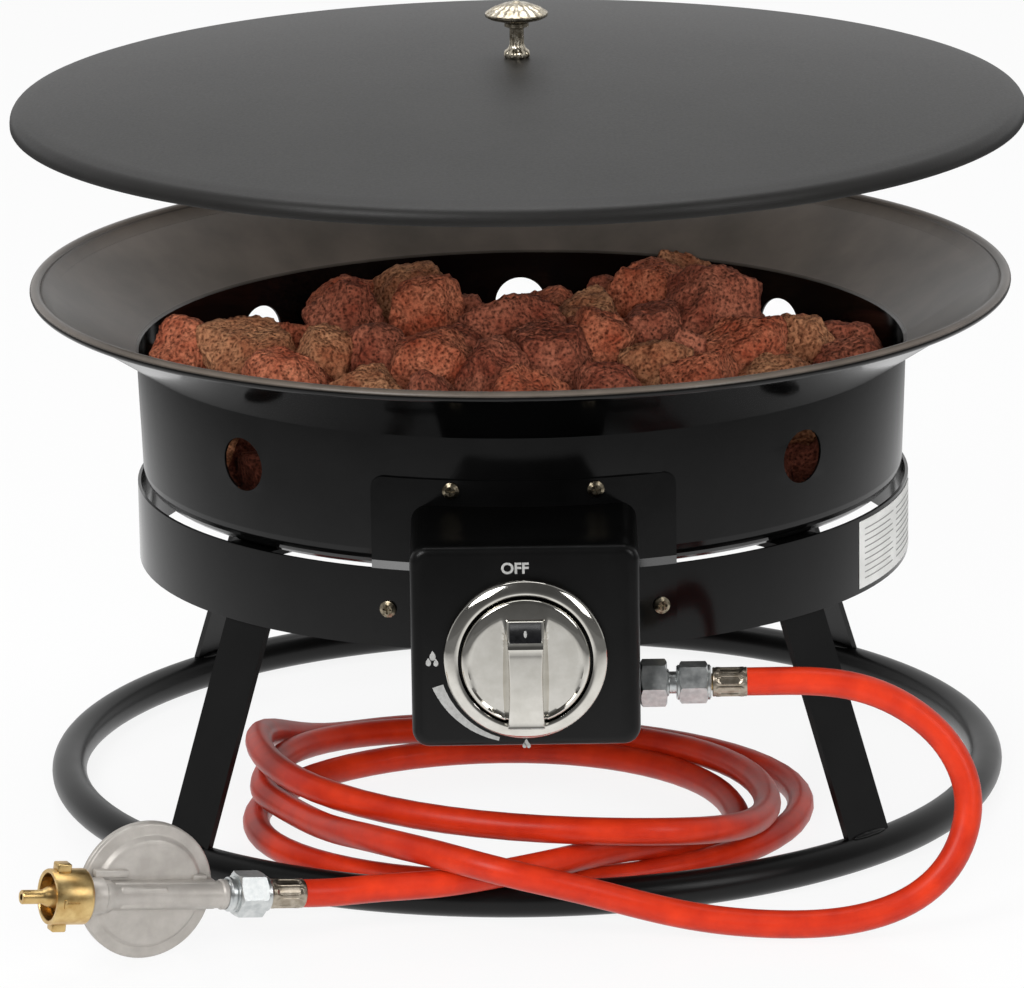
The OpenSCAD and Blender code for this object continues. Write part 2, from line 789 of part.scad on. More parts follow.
module venturi_tube() {
    cone_l = 20;
    cone_y = -burner_r - burner_tube_r - 40;
    color("#8f9194")
    translate([0, 0, feed_z])
    difference() {
        union() {
            translate([0, venturi_start_y, 0]) rotate([-90, 0, 0])
                cylinder(r = venturi_r, h = cone_y - venturi_start_y);
            translate([0, cone_y, 0]) rotate([-90, 0, 0])
                cylinder(r1 = venturi_r, r2 = venturi_neck_r, h = cone_l);
            translate([0, cone_y + cone_l, 0]) rotate([-90, 0, 0])
                cylinder(r = venturi_neck_r, h = 40);
        }
        translate([0, venturi_start_y - eps, 0]) rotate([-90, 0, 0])
            cylinder(r = venturi_r - venturi_wall, h = cone_y - venturi_start_y + eps);
        translate([0, cone_y - 0.01, 0]) rotate([-90, 0, 0])
            cylinder(r1 = venturi_r - venturi_wall, r2 = venturi_neck_r - venturi_wall, h = cone_l + 0.02);
        translate([0, cone_y + cone_l, 0]) rotate([-90, 0, 0])
            cylinder(r = venturi_neck_r - venturi_wall, h = 50);
        torus(burner_r, burner_tube_r + weld_gap);
        cylinder(r = burner_r, h = 40, center = true);
    }
}

module burner_ring() {
    color("#7d7f82")
    translate([0, 0, feed_z])
    difference() {
        torus(burner_r, burner_tube_r);
        torus(burner_r, burner_tube_r - 1);
        translate([0, -burner_r, 0]) rotate([90, 0, 0])
            cylinder(r = venturi_neck_r - venturi_wall, h = burner_tube_r + eps);
        for (i = [0:port_count - 1])
            rotate([0, 0, (i + 0.5) * 360 / port_count]) translate([burner_r, 0, 0]) cylinder(r = 1.2, h = 20);
    }
}

module burner_supports() {
    color("#7d7f82")
    difference() {
        for (a = [90, 210, 330])
            rotate([0, 0, a]) translate([burner_r, 0, bowl_inside_z + burner_rise / 4 + 1])
                cube([10, 8, burner_rise / 2 + 2], center = true);
        translate([0, 0, feed_z]) torus(burner_r, burner_tube_r + weld_gap);
    }
}

// ---- Rocks ----

// How far a ray may run from a rock's middle before it meets a plane.
function to_plane(ray, facing, room) = ray * facing > 0.01 ? room / (ray * facing) : 1000;

// How far a ray may run before it leaves an upright cylinder about the bowl's axis.
function to_cylinder(c, ray, r) =
    let (
        a = ray[0] * ray[0] + ray[1] * ray[1],
        b = c[0] * ray[0] + c[1] * ray[1],
        d = c[0] * c[0] + c[1] * c[1] - r * r
    )
    a < 0.001 ? 1000 : (sqrt(b * b - a * d) - b) / a;

// The lumps of a rock's surface.
function lumps(ray, seed) =
    1.08 + 0.07 * sin(170 * ray[0] + 47 * seed) + 0.06 * sin(210 * ray[1] + 71 * seed)
    + 0.06 * sin(190 * ray[2] + 113 * seed);

// The neighbours' planes that a rock has to stay behind: direction and room.
function rock_planes(c, all) = [
    for (o = all)
        let (away = [o[0] - c[0], o[1] - c[1], o[2] - c[2]], d = norm(away))
        if (d > 0.1 && d < 2.2 * (c[3] + o[3])) [away / d, d * c[3] / (c[3] + o[3]) - rock_gap / 2]
];

// The ray's length to the rock's surface.
function rock_reach(c, ray, planes, floor_z, top_z, wall) =
    let (
        up = c[3] * 0.85,
        down = c[2] - floor_z + 8,
        body = lumps(ray, c[0] + c[1]) / norm([ray[0] / c[3], ray[1] / c[3], ray[2] / (ray[2] > 0 ? up : down)])
    )
    min(concat(
        [
            body, to_plane(ray, [0, 0, -1], c[2] - floor_z), to_plane(ray, [0, 0, 1], top_z - c[2]),
            to_cylinder(c, ray, wall)
        ],
        [for (p = planes) to_plane(ray, p[0], p[1])]
    ));

function rock_rays() = concat(
    [[0, 0, 1]],
    [
        for (i = [1:rock_rings], j = [0:rock_around - 1])
            let (p = 180 * i / (rock_rings + 1), a = 360 * (j + i / 2) / rock_around)
            [sin(p) * cos(a), sin(p) * sin(a), cos(p)]
    ],
    [[0, 0, -1]]
);

function rock_faces() =
    let (n = rock_around, last = 1 + rock_rings * n)
    concat(
        [for (j = [0:n - 1]) [0, 1 + (j + 1) % n, 1 + j]],
        [
            for (i = [0:rock_rings - 2], j = [0:n - 1], side = [0, 1])
                let (a = 1 + i * n, b = a + n, k = (j + 1) % n)
                side == 0 ? [a + j, a + k, b + j] : [a + k, b + k, b + j]
        ],
        [for (j = [0:n - 1]) [last, last - n + j, last - n + (j + 1) % n]]
    );

module rock(c, planes, floor_z, top_z, wall) {
    middle = [c[0], c[1], c[2]];
    polyhedron(
        [for (ray = rock_rays()) middle + rock_reach(c, ray, planes, floor_z, top_z, wall) * ray],
        rock_faces()
    );
}

module upper_rocks(list) {
    for (c = list)
        rock(c, rock_planes(c, ROCKS_UP), rock_layer_z, bowl_top_z + rock_heap_h, bowl_r - rock_wall_gap);
}

module rocks_red() { color("#8a4638") upper_rocks(ROCKS_RED); }
module rocks_tan() { color("#b0805c") upper_rocks(ROCKS_TAN); }
module rocks_dark() { color("#4a3733") upper_rocks(ROCKS_DARK); }

module rocks_lower() {
    top_z = rock_layer_z - rock_gap;
    color("#6e4236") {
        for (c = ROCKS_LOW_IN)
            rock(c, rock_planes(c, ROCKS_LOW_IN), rock_floor_z, top_z, low_in_r);
        for (c = ROCKS_LOW_OUT) {
            out = unit([c[0], c[1], 0]);
            ring_side = [[-out, norm([c[0], c[1]]) - low_ring_r]];
            tube_side = c[1] < 0 ? [[[-sign(c[0]), 0, 0], abs(c[0]) - venturi_r - feed_gap]] : [];
            rock(c, concat(rock_planes(c, ROCKS_LOW_OUT), ring_side, tube_side), rock_floor_z, top_z, low_out_r);
        }
    }
}

// ---- Lid ----

function dome_z(r) = lid_crown_z - lid_arc_r + sqrt(pow(lid_arc_r, 2) - pow(r, 2));

// The lid's outside from its edge to its crown.
function lid_line() = concat(
    [[lid_r, lid_z]],
    arc([lid_r - lid_shoulder_r, lid_shoulder_z - lid_shoulder_r + 0.4], lid_shoulder_r, 0, 84, 6),
    [for (i = [11:-1:1]) [lid_r * i / 12, dome_z(lid_r * i / 12)]],
    [[lid_bolt_r / 2, dome_z(lid_bolt_r / 2)]]
);

module lid_shell() {
    color("#131416")
    difference() {
        rotate_extrude() sheet(lid_line(), sheet_t);
        translate([0, 0, lid_crown_z - 10]) cylinder(r = lid_bolt_r + bolt_clear, h = 20);
    }
}

module lid_knob() {
    base = lid_crown_z + 0.02;
    head = base + lid_head_z;
    collar = base + lid_collar_z;
    color("#a39a86")
    difference() {
        rotate_extrude()
            polygon([
                [0, base], [lid_foot_r, base], [lid_foot_r, base + 3], [lid_foot_r - 1.7, base + 5],
                [lid_neck_r, base + 6.5], [lid_neck_r, collar - 3], [lid_collar_r, collar - 2], [lid_collar_r, collar],
                [lid_knob_r - 3, head - 1.6], [lid_knob_r, head], [lid_knob_r, head + 1.4],
                [lid_knob_r - 3, base + lid_knob_h - 3], [lid_knob_r / 2, base + lid_knob_h - 1],
                [lid_knob_r / 5, base + lid_knob_h - 0.1], [0, base + lid_knob_h]
            ]);
        translate([0, 0, base - eps]) cylinder(r = lid_bolt_r + nut_clear, h = 20 + eps);
    }
}

module lid_washer() {
    color("#b9bbbd")
    translate([0, 0, lid_crown_z - sheet_t - weld_gap - lid_washer_t]) tube(5.5, lid_bolt_r + bolt_clear, lid_washer_t);
}

module lid_screw() {
    color("#c9cacb")
    translate([0, 0, lid_crown_z - sheet_t - weld_gap - lid_washer_t]) mirror([0, 0, 1])
        screw(3.8, 2.4, lid_bolt_r, sheet_t + lid_washer_t + 18);
}

// ---- Hose ----

// A tube swept along points, with the directions of its two ends.
module hose(points, sides, start, end) {
    n = len(points);
    along = [
        for (i = [0:n - 1]) i == 0 ? unit(start) : i == n - 1 ? unit(end) : unit(points[i + 1] - points[i - 1])
    ];
    side_vectors = [
        for (i = 0, u = unit(cross(along[0], [0.1, 0.2, 1])); i < n;
            i = i + 1, u = unit(u - (u * along[min(i, n - 1)]) * along[min(i, n - 1)])) u
    ];
    rings = [
        for (i = [0:n - 1], k = [0:sides - 1])
            points[i] + hose_r * (cos(360 * k / sides) * side_vectors[i]
                + sin(360 * k / sides) * cross(along[i], side_vectors[i]))
    ];
    walls = [
        for (i = [0:n - 2], k = [0:sides - 1], half = [0, 1])
            let (a = i * sides, b = a + sides, m = (k + 1) % sides)
            half == 0 ? [a + k, b + k, a + m] : [a + m, b + k, b + m]
    ];
    caps = concat(
        [for (k = [1:sides - 2]) [0, k, k + 1]],
        [for (k = [1:sides - 2]) [(n - 1) * sides, (n - 1) * sides + k + 1, (n - 1) * sides + k]]
    );
    polyhedron(rings, concat(walls, caps));
}

// A point of the coil between quarter point i and the next; the turns run along y at even points.
function coil_point(i, angle) =
    let (
        a = COIL[i],
        b = COIL[i + 1],
        climb = (1 - cos(2 * min(90, a[3] * angle))) / 2
    )
    i % 2 == 0
    ? [b[0] + (a[0] - b[0]) * cos(angle), a[1] + (b[1] - a[1]) * sin(angle), a[2] + (b[2] - a[2]) * climb]
    : [a[0] + (b[0] - a[0]) * sin(angle), b[1] + (a[1] - b[1]) * cos(angle), a[2] + (b[2] - a[2]) * climb];

function coil_points(steps) = concat(
    [LEAD[len(LEAD) - 1]],
    [for (i = [0:len(COIL) - 2], k = [0:steps - 1]) coil_point(i, 90 * k / steps)],
    [[for (k = [0:2]) COIL[len(COIL) - 1][k]], TAIL[0]]
);

// The least gap between stretches of one route that lie more than half a turn's quarter apart.
function least_gap(points, apart) = min([
    for (i = [0:len(points) - 1], j = [i + apart:1:len(points) - 1]) norm(points[i] - points[j])
]) - 2 * hose_r;

module hose_lead() {
    color("#d2361c")
    hose(LEAD, hose_sides, [1, 0, 0], [0, 1, 0]);
}

module hose_coil() {
    echo(coil_least_gap = least_gap(coil_points(coil_fine_steps), coil_fine_steps));
    color("#c92f18")
    hose(coil_points(coil_steps), coil_sides, [0, 1, 0], [0, -1, 0]);
}

module hose_tail() {
    nozzle_way = [
        cos(regulator_tilt) * cos(regulator_turn), cos(regulator_tilt) * sin(regulator_turn), sin(regulator_tilt)
    ];
    color("#d2361c")
    hose(TAIL, hose_sides, [0, -1, 0], nozzle_way);
}

// A crimped ferrule with flutes.
module ferrule(l) {
    flutes = 8;
    difference() {
        cylinder(r = ferrule_r, h = l);
        translate([0, 0, -eps]) cylinder(r = nipple_r + seam_gap, h = l + 2 * eps);
        for (i = [0:flutes - 1])
            rotate([0, 0, i * 360 / flutes]) translate([ferrule_r + 1, 0, 2.5]) cylinder(r = 1.6, h = l - 5, $fn = 24);
    }
}

module hose_nut_valve() {
    color("#c6c8ca")
    on_inlet(valve_nut_x)
    difference() {
        union() {
            cylinder(r = valve_nut_af / 2 - 0.4, h = valve_nut_l);
            translate([0, 0, 1]) hex_bar(valve_nut_af, valve_nut_l - 2);
        }
        translate([0, 0, -eps]) cylinder(r = nipple_r + seam_gap, h = valve_nut_l + 2 * eps);
    }
}

module hose_ferrule_valve() {
    color("#a79c8c")
    on_inlet(ferrule_x) ferrule(ferrule_l);
}

module hose_nipples() {
    color("#b58a45") {
        on_inlet(valve_nut_x + weld_gap) tube(nipple_r, gas_bore_r, ferrule_x + ferrule_l - valve_nut_x - 2 * weld_gap);
        on_tube(weld_gap) tube(nipple_r, gas_bore_r, end_ferrule_l + end_nut_l - 2 * weld_gap);
    }
}

// ---- Regulator ----

module hose_ferrule_regulator() {
    color("#a79c8c")
    on_tube(0) ferrule(end_ferrule_l);
}

module hose_nut_regulator() {
    color("#c6c8ca")
    on_tube(end_ferrule_l + weld_gap)
    difference() {
        union() {
            cylinder(r = regulator_nut_af / 2 - 1.5, h = end_nut_l - 2 * weld_gap);
            translate([0, 0, 2]) hex_bar(regulator_nut_af, end_nut_l - 7);
        }
        translate([0, 0, -eps]) cylinder(r = nipple_r + seam_gap, h = end_nut_l + 2 * eps);
    }
}

module regulator_body() {
    tube_s = end_ferrule_l + end_nut_l;
    back_y = case_y - case_flange_t / 2;
    face_y = back_y + case_flange_t;
    color("#a9a49d")
    difference() {
        union() {
            on_case(back_y) cylinder(r = case_r, h = case_flange_t);
            on_case(face_y - 0.5) cylinder(r1 = case_face_r + 1.5, r2 = case_face_r, h = case_front_t + 0.5);
            on_tube(tube_s) cylinder(r = outlet_r, h = tube_end_s - tube_s);
            on_regulator() translate([tube_s + 18, face_y - 1, -outlet_r - 2.5]) cube([44, 9, 2 * outlet_r + 5]);
        }
        on_case(back_y - eps) cylinder(r = case_r - 3, h = 2 + eps);
        on_tube(tube_s - eps) cylinder(r = gas_bore_r + 1, h = tube_end_s - tube_s + 2 * eps);
    }
}

module regulator_cover() {
    back_y = case_y - case_flange_t / 2;
    color("#8f8a84")
    difference() {
        union() {
            on_case(back_y - 3 - weld_gap) cylinder(r = case_r, h = 3);
            on_case(back_y - case_back) cylinder(r1 = case_face_r - 2, r2 = case_face_r, h = case_back - 3);
        }
        on_case(back_y - case_back + case_wall) cylinder(r = case_face_r - 4, h = case_back);
    }
}

module regulator_diaphragm() {
    color("#2b2b2b")
    on_case(case_y - case_flange_t / 2 + 0.2) cylinder(r = case_r - 3.2, h = 1);
}

module regulator_spring() {
    low_y = case_y - case_flange_t / 2 - case_back + case_wall;
    color("#a8abae")
    on_case(low_y + weld_gap) tube(9, 7.8, case_back - case_wall);
}

module bottle_nozzle() {
    pin_l = 10;
    nose_s = nozzle_end_s - pin_l;
    shoulder_s = tube_end_s + union_wall + 2 * rest_gap;
    color("#c09a55")
    difference() {
        union() {
            on_tube(tube_end_s) cylinder(r = nozzle_shank_r, h = shoulder_s - tube_end_s + 0.5);
            on_tube(shoulder_s) cylinder(r = flange_r, h = flange_l);
            on_tube(shoulder_s + flange_l - 0.5) cylinder(r = nozzle_shank_r, h = nose_s - shoulder_s - flange_l - 3);
            on_tube(nose_s - 3.5) cylinder(r1 = nozzle_shank_r, r2 = nozzle_r, h = 3);
            on_tube(nose_s - 0.5) cylinder(r = nozzle_r, h = pin_l);
            on_tube(nozzle_end_s - 0.5) cylinder(r1 = nozzle_r, r2 = nozzle_r - 0.5, h = 0.5);
        }
        on_tube(tube_end_s - eps) cylinder(r = 1.5, h = nozzle_end_s - tube_end_s + 2 * eps);
    }
}

module union_nut() {
    start_s = tube_end_s + rest_gap;
    lug = 3.5;
    color("#c09a55")
    on_tube(start_s)
    difference() {
        union() {
            cylinder(r = union_r - 1.5, h = union_l);
            translate([0, 0, 3]) cylinder(r = union_r, h = union_l - 3);
            for (a = [0, 180])
                rotate([0, 0, a]) translate([union_r - 2, -2.5, union_l - 9]) cube([lug + 2, 5, 7]);
            for (a = [60, 90, 120, 240, 270, 300])
                rotate([0, 0, a]) translate([union_r - 1, -1, 4]) cube([1.8, 2, union_l - 6]);
        }
        translate([0, 0, -eps]) cylinder(r = nozzle_shank_r + stem_clear, h = union_wall + 2 * eps);
        translate([0, 0, union_wall]) cylinder(r = union_bore_r, h = union_l);
    }
}

module nozzle_seal() {
    seal_s = tube_end_s + union_wall + 2 * rest_gap + flange_l + 0.02;
    color("#222222")
    on_tube(seal_s) tube(flange_r - 0.3, nozzle_shank_r + 0.1, 2);
}

// ---- Output ----

base_ring();
leg_front_left();
leg_front_right();
leg_back_left();
leg_back_right();
support_band();
leg_screws();
leg_nuts();
fire_bowl();
blank_label();
mounting_plate();
plate_screws();
plate_nuts();
control_box();
knob_bezel();
control_knob();
knob_window();
valve_stem();
stem_collar();
stem_spring();
valve_body();
valve_screws();
inlet_adapter();
outlet_elbow();
gas_jet();
venturi_tube();
burner_ring();
burner_supports();
rocks_red();
rocks_tan();
rocks_dark();
rocks_lower();
lid_shell();
lid_knob();
lid_screw();
lid_washer();
hose_nut_valve();
hose_ferrule_valve();
hose_nipples();
hose_lead();
hose_coil();
hose_tail();
hose_ferrule_regulator();
hose_nut_regulator();
regulator_body();
regulator_cover();
regulator_diaphragm();
regulator_spring();
bottle_nozzle();
union_nut();
nozzle_seal();
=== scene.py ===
from math import acos, asin, atan2, cos, degrees, hypot, pi, radians, sin, sqrt, tan

import bmesh
import bpy
from mathutils import Matrix, Vector, noise


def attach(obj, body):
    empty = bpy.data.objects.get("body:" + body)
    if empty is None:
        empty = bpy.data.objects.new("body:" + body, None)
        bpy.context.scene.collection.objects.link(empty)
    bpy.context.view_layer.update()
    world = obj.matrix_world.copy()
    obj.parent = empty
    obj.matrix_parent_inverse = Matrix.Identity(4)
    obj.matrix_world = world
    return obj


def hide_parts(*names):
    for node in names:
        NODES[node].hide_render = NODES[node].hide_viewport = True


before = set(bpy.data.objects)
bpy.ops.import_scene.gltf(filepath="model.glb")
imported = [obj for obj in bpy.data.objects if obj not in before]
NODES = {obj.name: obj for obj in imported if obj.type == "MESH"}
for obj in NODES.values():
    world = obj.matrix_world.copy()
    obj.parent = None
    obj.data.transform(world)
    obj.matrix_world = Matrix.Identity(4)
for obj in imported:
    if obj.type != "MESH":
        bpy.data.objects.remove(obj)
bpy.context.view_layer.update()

MM = 0.001

# ---- Sizes of the object, in millimetres ----

BAND_R = 191.0
PLATE_LOW_R = 192.4
PLATE_HIGH_R = 190.7
JOGGLE_Z = 159.5
BOX_FRONT = 260.0
BOX_W = 106.0
BOX_H = 96.5
BOX_Z = 93.0
KNOB_Z = 136.3
VALVE_Y = -236.0
INLET_Z = 116.0
RIM_R = 241.3
RIM_TOP = 257.5
REGULATOR_AT = Vector((-106.0, -256.0, 22.0)) * MM
REGULATOR_TURN = 205.0
REGULATOR_TILT = 8.0
CASE_S = 75.5
HOSE_R = 6.6

# ---- Camera ----

CAMERA_AT = (0.0, -3.4, 1.06374)
CAMERA_DOWN = 15.134
CAMERA_ROLL = -0.826
LENS_MM = 249.12
PHOTO_WIDTH_PX = 1024
OPTICAL_AXIS_PX = 523.29


def add_camera():
    data = bpy.data.cameras.new("photo_camera")
    data.sensor_fit = "HORIZONTAL"
    data.sensor_width = 36.0
    data.lens = LENS_MM
    data.shift_x = (PHOTO_WIDTH_PX / 2 - OPTICAL_AXIS_PX) / PHOTO_WIDTH_PX
    data.clip_end = 50.0
    camera = bpy.data.objects.new("photo_camera", data)
    bpy.context.scene.collection.objects.link(camera)
    camera.matrix_world = (
        Matrix.Translation(CAMERA_AT)
        @ Matrix.Rotation(radians(90 - CAMERA_DOWN), 4, "X")
        @ Matrix.Rotation(radians(CAMERA_ROLL), 4, "Z")
    )
    bpy.context.scene.camera = camera


# ---- Materials ----

def hex_rgb(code):
    """The linear colour of an sRGB hex code."""
    parts = [int(code[i:i + 2], 16) / 255 for i in (1, 3, 5)]
    return tuple(c / 12.92 if c <= 0.04045 else ((c + 0.055) / 1.055) ** 2.4 for c in parts) + (1.0,)


def add_node(tree, kind, inputs=None, **settings):
    """A node with its settings, its values and its links."""
    node = tree.nodes.new(kind)
    for key, value in settings.items():
        setattr(node, key, value)
    for key, value in (inputs or {}).items():
        if isinstance(value, bpy.types.NodeSocket):
            tree.links.new(value, node.inputs[key])
        else:
            node.inputs[key].default_value = value
    return node


def start_material(name):
    material = bpy.data.materials.new(name)
    material.use_nodes = True
    tree = material.node_tree
    tree.nodes.clear()
    place = add_node(tree, "ShaderNodeTexCoord").outputs["Object"]
    return material, tree, place


def grain(tree, place, size_mm, detail=4.0, rough=0.55):
    """Noise whose lumps are about size_mm across."""
    return add_node(
        tree, "ShaderNodeTexNoise",
        {"Vector": place, "Scale": 1000 / size_mm, "Detail": detail, "Roughness": rough},
    ).outputs["Fac"]


def mix_colours(tree, factor, low, high):
    ramp = add_node(tree, "ShaderNodeValToRGB", {"Fac": factor})
    ramp.color_ramp.elements[0].color = hex_rgb(low)
    ramp.color_ramp.elements[1].color = hex_rgb(high)
    ramp.color_ramp.elements[0].position = 0.35
    ramp.color_ramp.elements[1].position = 0.68
    return ramp.outputs["Color"]


def spread(tree, factor, low, high):
    return add_node(
        tree, "ShaderNodeMapRange", {"Value": factor, "To Min": low, "To Max": high}
    ).outputs["Result"]


def bump(tree, height, depth_mm, strength=1.0, under=None):
    inputs = {"Height": height, "Distance": depth_mm * MM, "Strength": strength}
    if under is not None:
        inputs["Normal"] = under
    return add_node(tree, "ShaderNodeBump", inputs).outputs["Normal"]


def end_material(tree, material, inputs):
    shader = add_node(tree, "ShaderNodeBsdfPrincipled", inputs)
    add_node(tree, "ShaderNodeOutputMaterial", {"Surface": shader.outputs["BSDF"]})
    return material


def satin_powder_coat():
    """Baked black powder coat: deep black with a soft sheen over a fine pebbled skin."""
    material, tree, place = start_material("satin_powder_coat")
    skin = grain(tree, place, 0.9)
    haze = grain(tree, place, 35, 3)
    return end_material(tree, material, {
        "Base Color": mix_colours(tree, haze, "#050505", "#090909"),
        "Roughness": spread(tree, haze, 0.26, 0.38),
        "Specular IOR Level": 0.24,
        "Normal": bump(tree, skin, 0.04, 0.4),
    })


def gloss_enamel():
    """Stove enamel on pressed steel: deep black gloss, with a painted reflection on the flare, whose upward faces are
    a light warm grey and softer.
    """
    material, tree, place = start_material("gloss_enamel")
    peel = grain(tree, place, 5, 2)
    haze = grain(tree, place, 30, 4)
    height = add_node(tree, "ShaderNodeSeparateXYZ", {"Vector": place}).outputs["Z"]
    above = add_node(tree, "ShaderNodeMapRange", {
        "Value": height, "From Min": 0.2228, "From Max": 0.2245,
    }).outputs["Result"]
    facing = add_node(tree, "ShaderNodeSeparateXYZ", {
        "Vector": add_node(tree, "ShaderNodeNewGeometry").outputs["Normal"],
    }).outputs["Z"]
    upward = add_node(tree, "ShaderNodeMapRange", {
        "Value": facing, "From Min": 0.1, "From Max": 0.5,
    }).outputs["Result"]
    # Painted reflection: the flare's upward faces above the crease get a light warm grey base colour in place of the
    # bright surroundings that the black enamel would reflect.
    flare = add_node(tree, "ShaderNodeMath", {0: above, 1: upward}, operation="MULTIPLY").outputs[0]
    colour = add_node(tree, "ShaderNodeMix", {
        0: flare,
        6: mix_colours(tree, haze, "#040404", "#080808"),
        7: mix_colours(tree, haze, "#58514a", "#696058"),
    }, data_type="RGBA").outputs[2]
    return end_material(tree, material, {
        "Base Color": colour,
        "Roughness": add_node(tree, "ShaderNodeMapRange", {"Value": flare, "To Min": 0.12, "To Max": 0.3}).outputs["Result"],
        "Specular IOR Level": 0.3,
        "Normal": bump(tree, peel, 0.04, 0.4),
    })


def lid_powder_coat():
    """Fine textured powder coat on the lid: a dull sheen with tiny sparkles of grain."""
    material, tree, place = start_material("lid_powder_coat")
    skin = grain(tree, place, 1.4, 6)
    haze = grain(tree, place, 60, 3)
    return end_material(tree, material, {
        "Base Color": mix_colours(tree, haze, "#131211", "#1a1918"),
        "Roughness": spread(tree, skin, 0.4, 0.56),
        "Specular IOR Level": 0.38,
        "Normal": bump(tree, skin, 0.08, 0.6),
    })


def polished_chrome():
    """Chrome plate on die-cast zinc: a mirror with faint smudges."""
    material, tree, place = start_material("polished_chrome")
    smudge = grain(tree, place, 9, 5)
    return end_material(tree, material, {
        "Base Color": mix_colours(tree, smudge, "#cfccc4", "#dddad3"),
        "Metallic": 1.0,
        "Roughness": spread(tree, smudge, 0.04, 0.13),
        "Normal": bump(tree, grain(tree, place, 4, 2), 0.02, 0.3),
    })


def antique_pewter():
    """Antique pewter plate: warm bright metal on the raised parts and dark brown in the hollows."""
    material, tree, place = start_material("antique_pewter")
    patina = grain(tree, place, 2.2, 5)
    return end_material(tree, material, {
        "Base Color": mix_colours(tree, patina, "#958a76", "#e2dac8"),
        "Metallic": 1.0,
        "Roughness": spread(tree, patina, 0.16, 0.34),
        "Normal": bump(tree, patina, 0.05, 0.5),
    })


def bright_zinc():
    """Bright zinc plate on steel: cool metal with a blotchy, slightly dull surface."""
    material, tree, place = start_material("bright_zinc")
    blotch = grain(tree, place, 3.5, 5)
    return end_material(tree, material, {
        "Base Color": mix_colours(tree, blotch, "#bcc0c0", "#dadcdb"),
        "Metallic": 1.0,
        "Roughness": spread(tree, blotch, 0.24, 0.42),
        "Normal": bump(tree, grain(tree, place, 0.8, 3), 0.03, 0.5),
    })


def waxed_zinc():
    """Zinc screws with a yellowed wax film: brown in the recess and bright on the rounded head."""
    material, tree, place = start_material("waxed_zinc")
    film = grain(tree, place, 2.4, 5)
    return end_material(tree, material, {
        "Base Color": mix_colours(tree, film, "#5f5645", "#c3b79f"),
        "Metallic": 1.0,
        "Roughness": spread(tree, film, 0.2, 0.36),
        "Normal": bump(tree, film, 0.05, 0.5),
    })


def turned_brass():
    """Turned yellow brass: warm metal with fine tool marks, duller in the hollows."""
    material, tree, place = start_material("turned_brass")
    tarnish = grain(tree, place, 6, 5)
    marks = grain(tree, place, 0.5, 2)
    return end_material(tree, material, {
        "Base Color": mix_colours(tree, tarnish, "#c09c62", "#dfc287"),
        "Metallic": 1.0,
        "Roughness": spread(tree, tarnish, 0.26, 0.42),
        "Normal": bump(tree, marks, 0.03, 0.6),
    })


def die_cast_alloy():
    """Tumbled zinc casting with a clear coat: warm grey, even and satin, with a fine pebble."""
    material, tree, place = start_material("die_cast_alloy")
    tone = grain(tree, place, 12, 4)
    pebble = grain(tree, place, 0.7, 3)
    return end_material(tree, material, {
        "Base Color": mix_colours(tree, tone, "#a39e98", "#b6b1ab"),
        "Metallic": 0.45,
        "Roughness": spread(tree, pebble, 0.34, 0.5),
        "Normal": bump(tree, pebble, 0.05, 0.5),
    })


def crimped_steel():
    """Crimped plated sleeve: brownish bright metal with brushed streaks."""
    material, tree, place = start_material("crimped_steel")
    tone = grain(tree, place, 4, 5)
    return end_material(tree, material, {
        "Base Color": mix_colours(tree, tone, "#958a7a", "#bdb3a4"),
        "Metallic": 1.0,
        "Roughness": spread(tree, tone, 0.24, 0.4),
        "Normal": bump(tree, grain(tree, place, 0.6, 2), 0.03, 0.5),
    })


def dull_steel():
    """Plain steel that has been hot: grey with brown and blue tinted patches."""
    material, tree, place = start_material("dull_steel")
    tint = grain(tree, place, 14, 4)
    return end_material(tree, material, {
        "Base Color": mix_colours(tree, tint, "#5c5752", "#8c8b8a"),
        "Metallic": 1.0,
        "Roughness": spread(tree, tint, 0.35, 0.55),
    })


def hose_rubber():
    """Extruded rubber hose: red-orange satin with faint scuffs and a soft bloom."""
    material, tree, place = start_material("hose_rubber")
    scuff = grain(tree, place, 18, 5)
    skin = grain(tree, place, 0.8, 2)
    return end_material(tree, material, {
        "Base Color": mix_colours(tree, scuff, "#b02610", "#cc3414"),
        "Roughness": spread(tree, scuff, 0.32, 0.46),
        "Specular IOR Level": 0.3,
        "Normal": bump(tree, skin, 0.03, 0.4),
    })


def black_rubber():
    """Moulded black rubber, matt with a fine grain."""
    material, tree, place = start_material("black_rubber")
    skin = grain(tree, place, 1.0)
    return end_material(tree, material, {
        "Base Color": mix_colours(tree, skin, "#17171a", "#202023"),
        "Roughness": spread(tree, skin, 0.6, 0.8),
    })


def window_black():
    """Gloss black moulded insert with fine scratches."""
    material, tree, place = start_material("window_black")
    haze = grain(tree, place, 3, 3)
    return end_material(tree, material, {
        "Base Color": mix_colours(tree, haze, "#0b0b0c", "#141416"),
        "Roughness": spread(tree, haze, 0.12, 0.25),
    })


def label_stock():
    """Plain white label film: smooth, faintly creased, satin."""
    material, tree, place = start_material("label_stock")
    crease = grain(tree, place, 20, 3)
    return end_material(tree, material, {
        "Base Color": mix_colours(tree, crease, "#dededb", "#efefec"),
        "Roughness": spread(tree, crease, 0.35, 0.5),
        "Normal": bump(tree, crease, 0.1, 0.3),
    })


def print_ink():
    """Screen-printed light grey ink, matt and slightly uneven."""
    material, tree, place = start_material("print_ink")
    wear = grain(tree, place, 1.5, 4)
    return end_material(tree, material, {
        "Base Color": mix_colours(tree, wear, "#8b8b89", "#9f9f9d"),
        "Roughness": spread(tree, wear, 0.5, 0.7),
    })


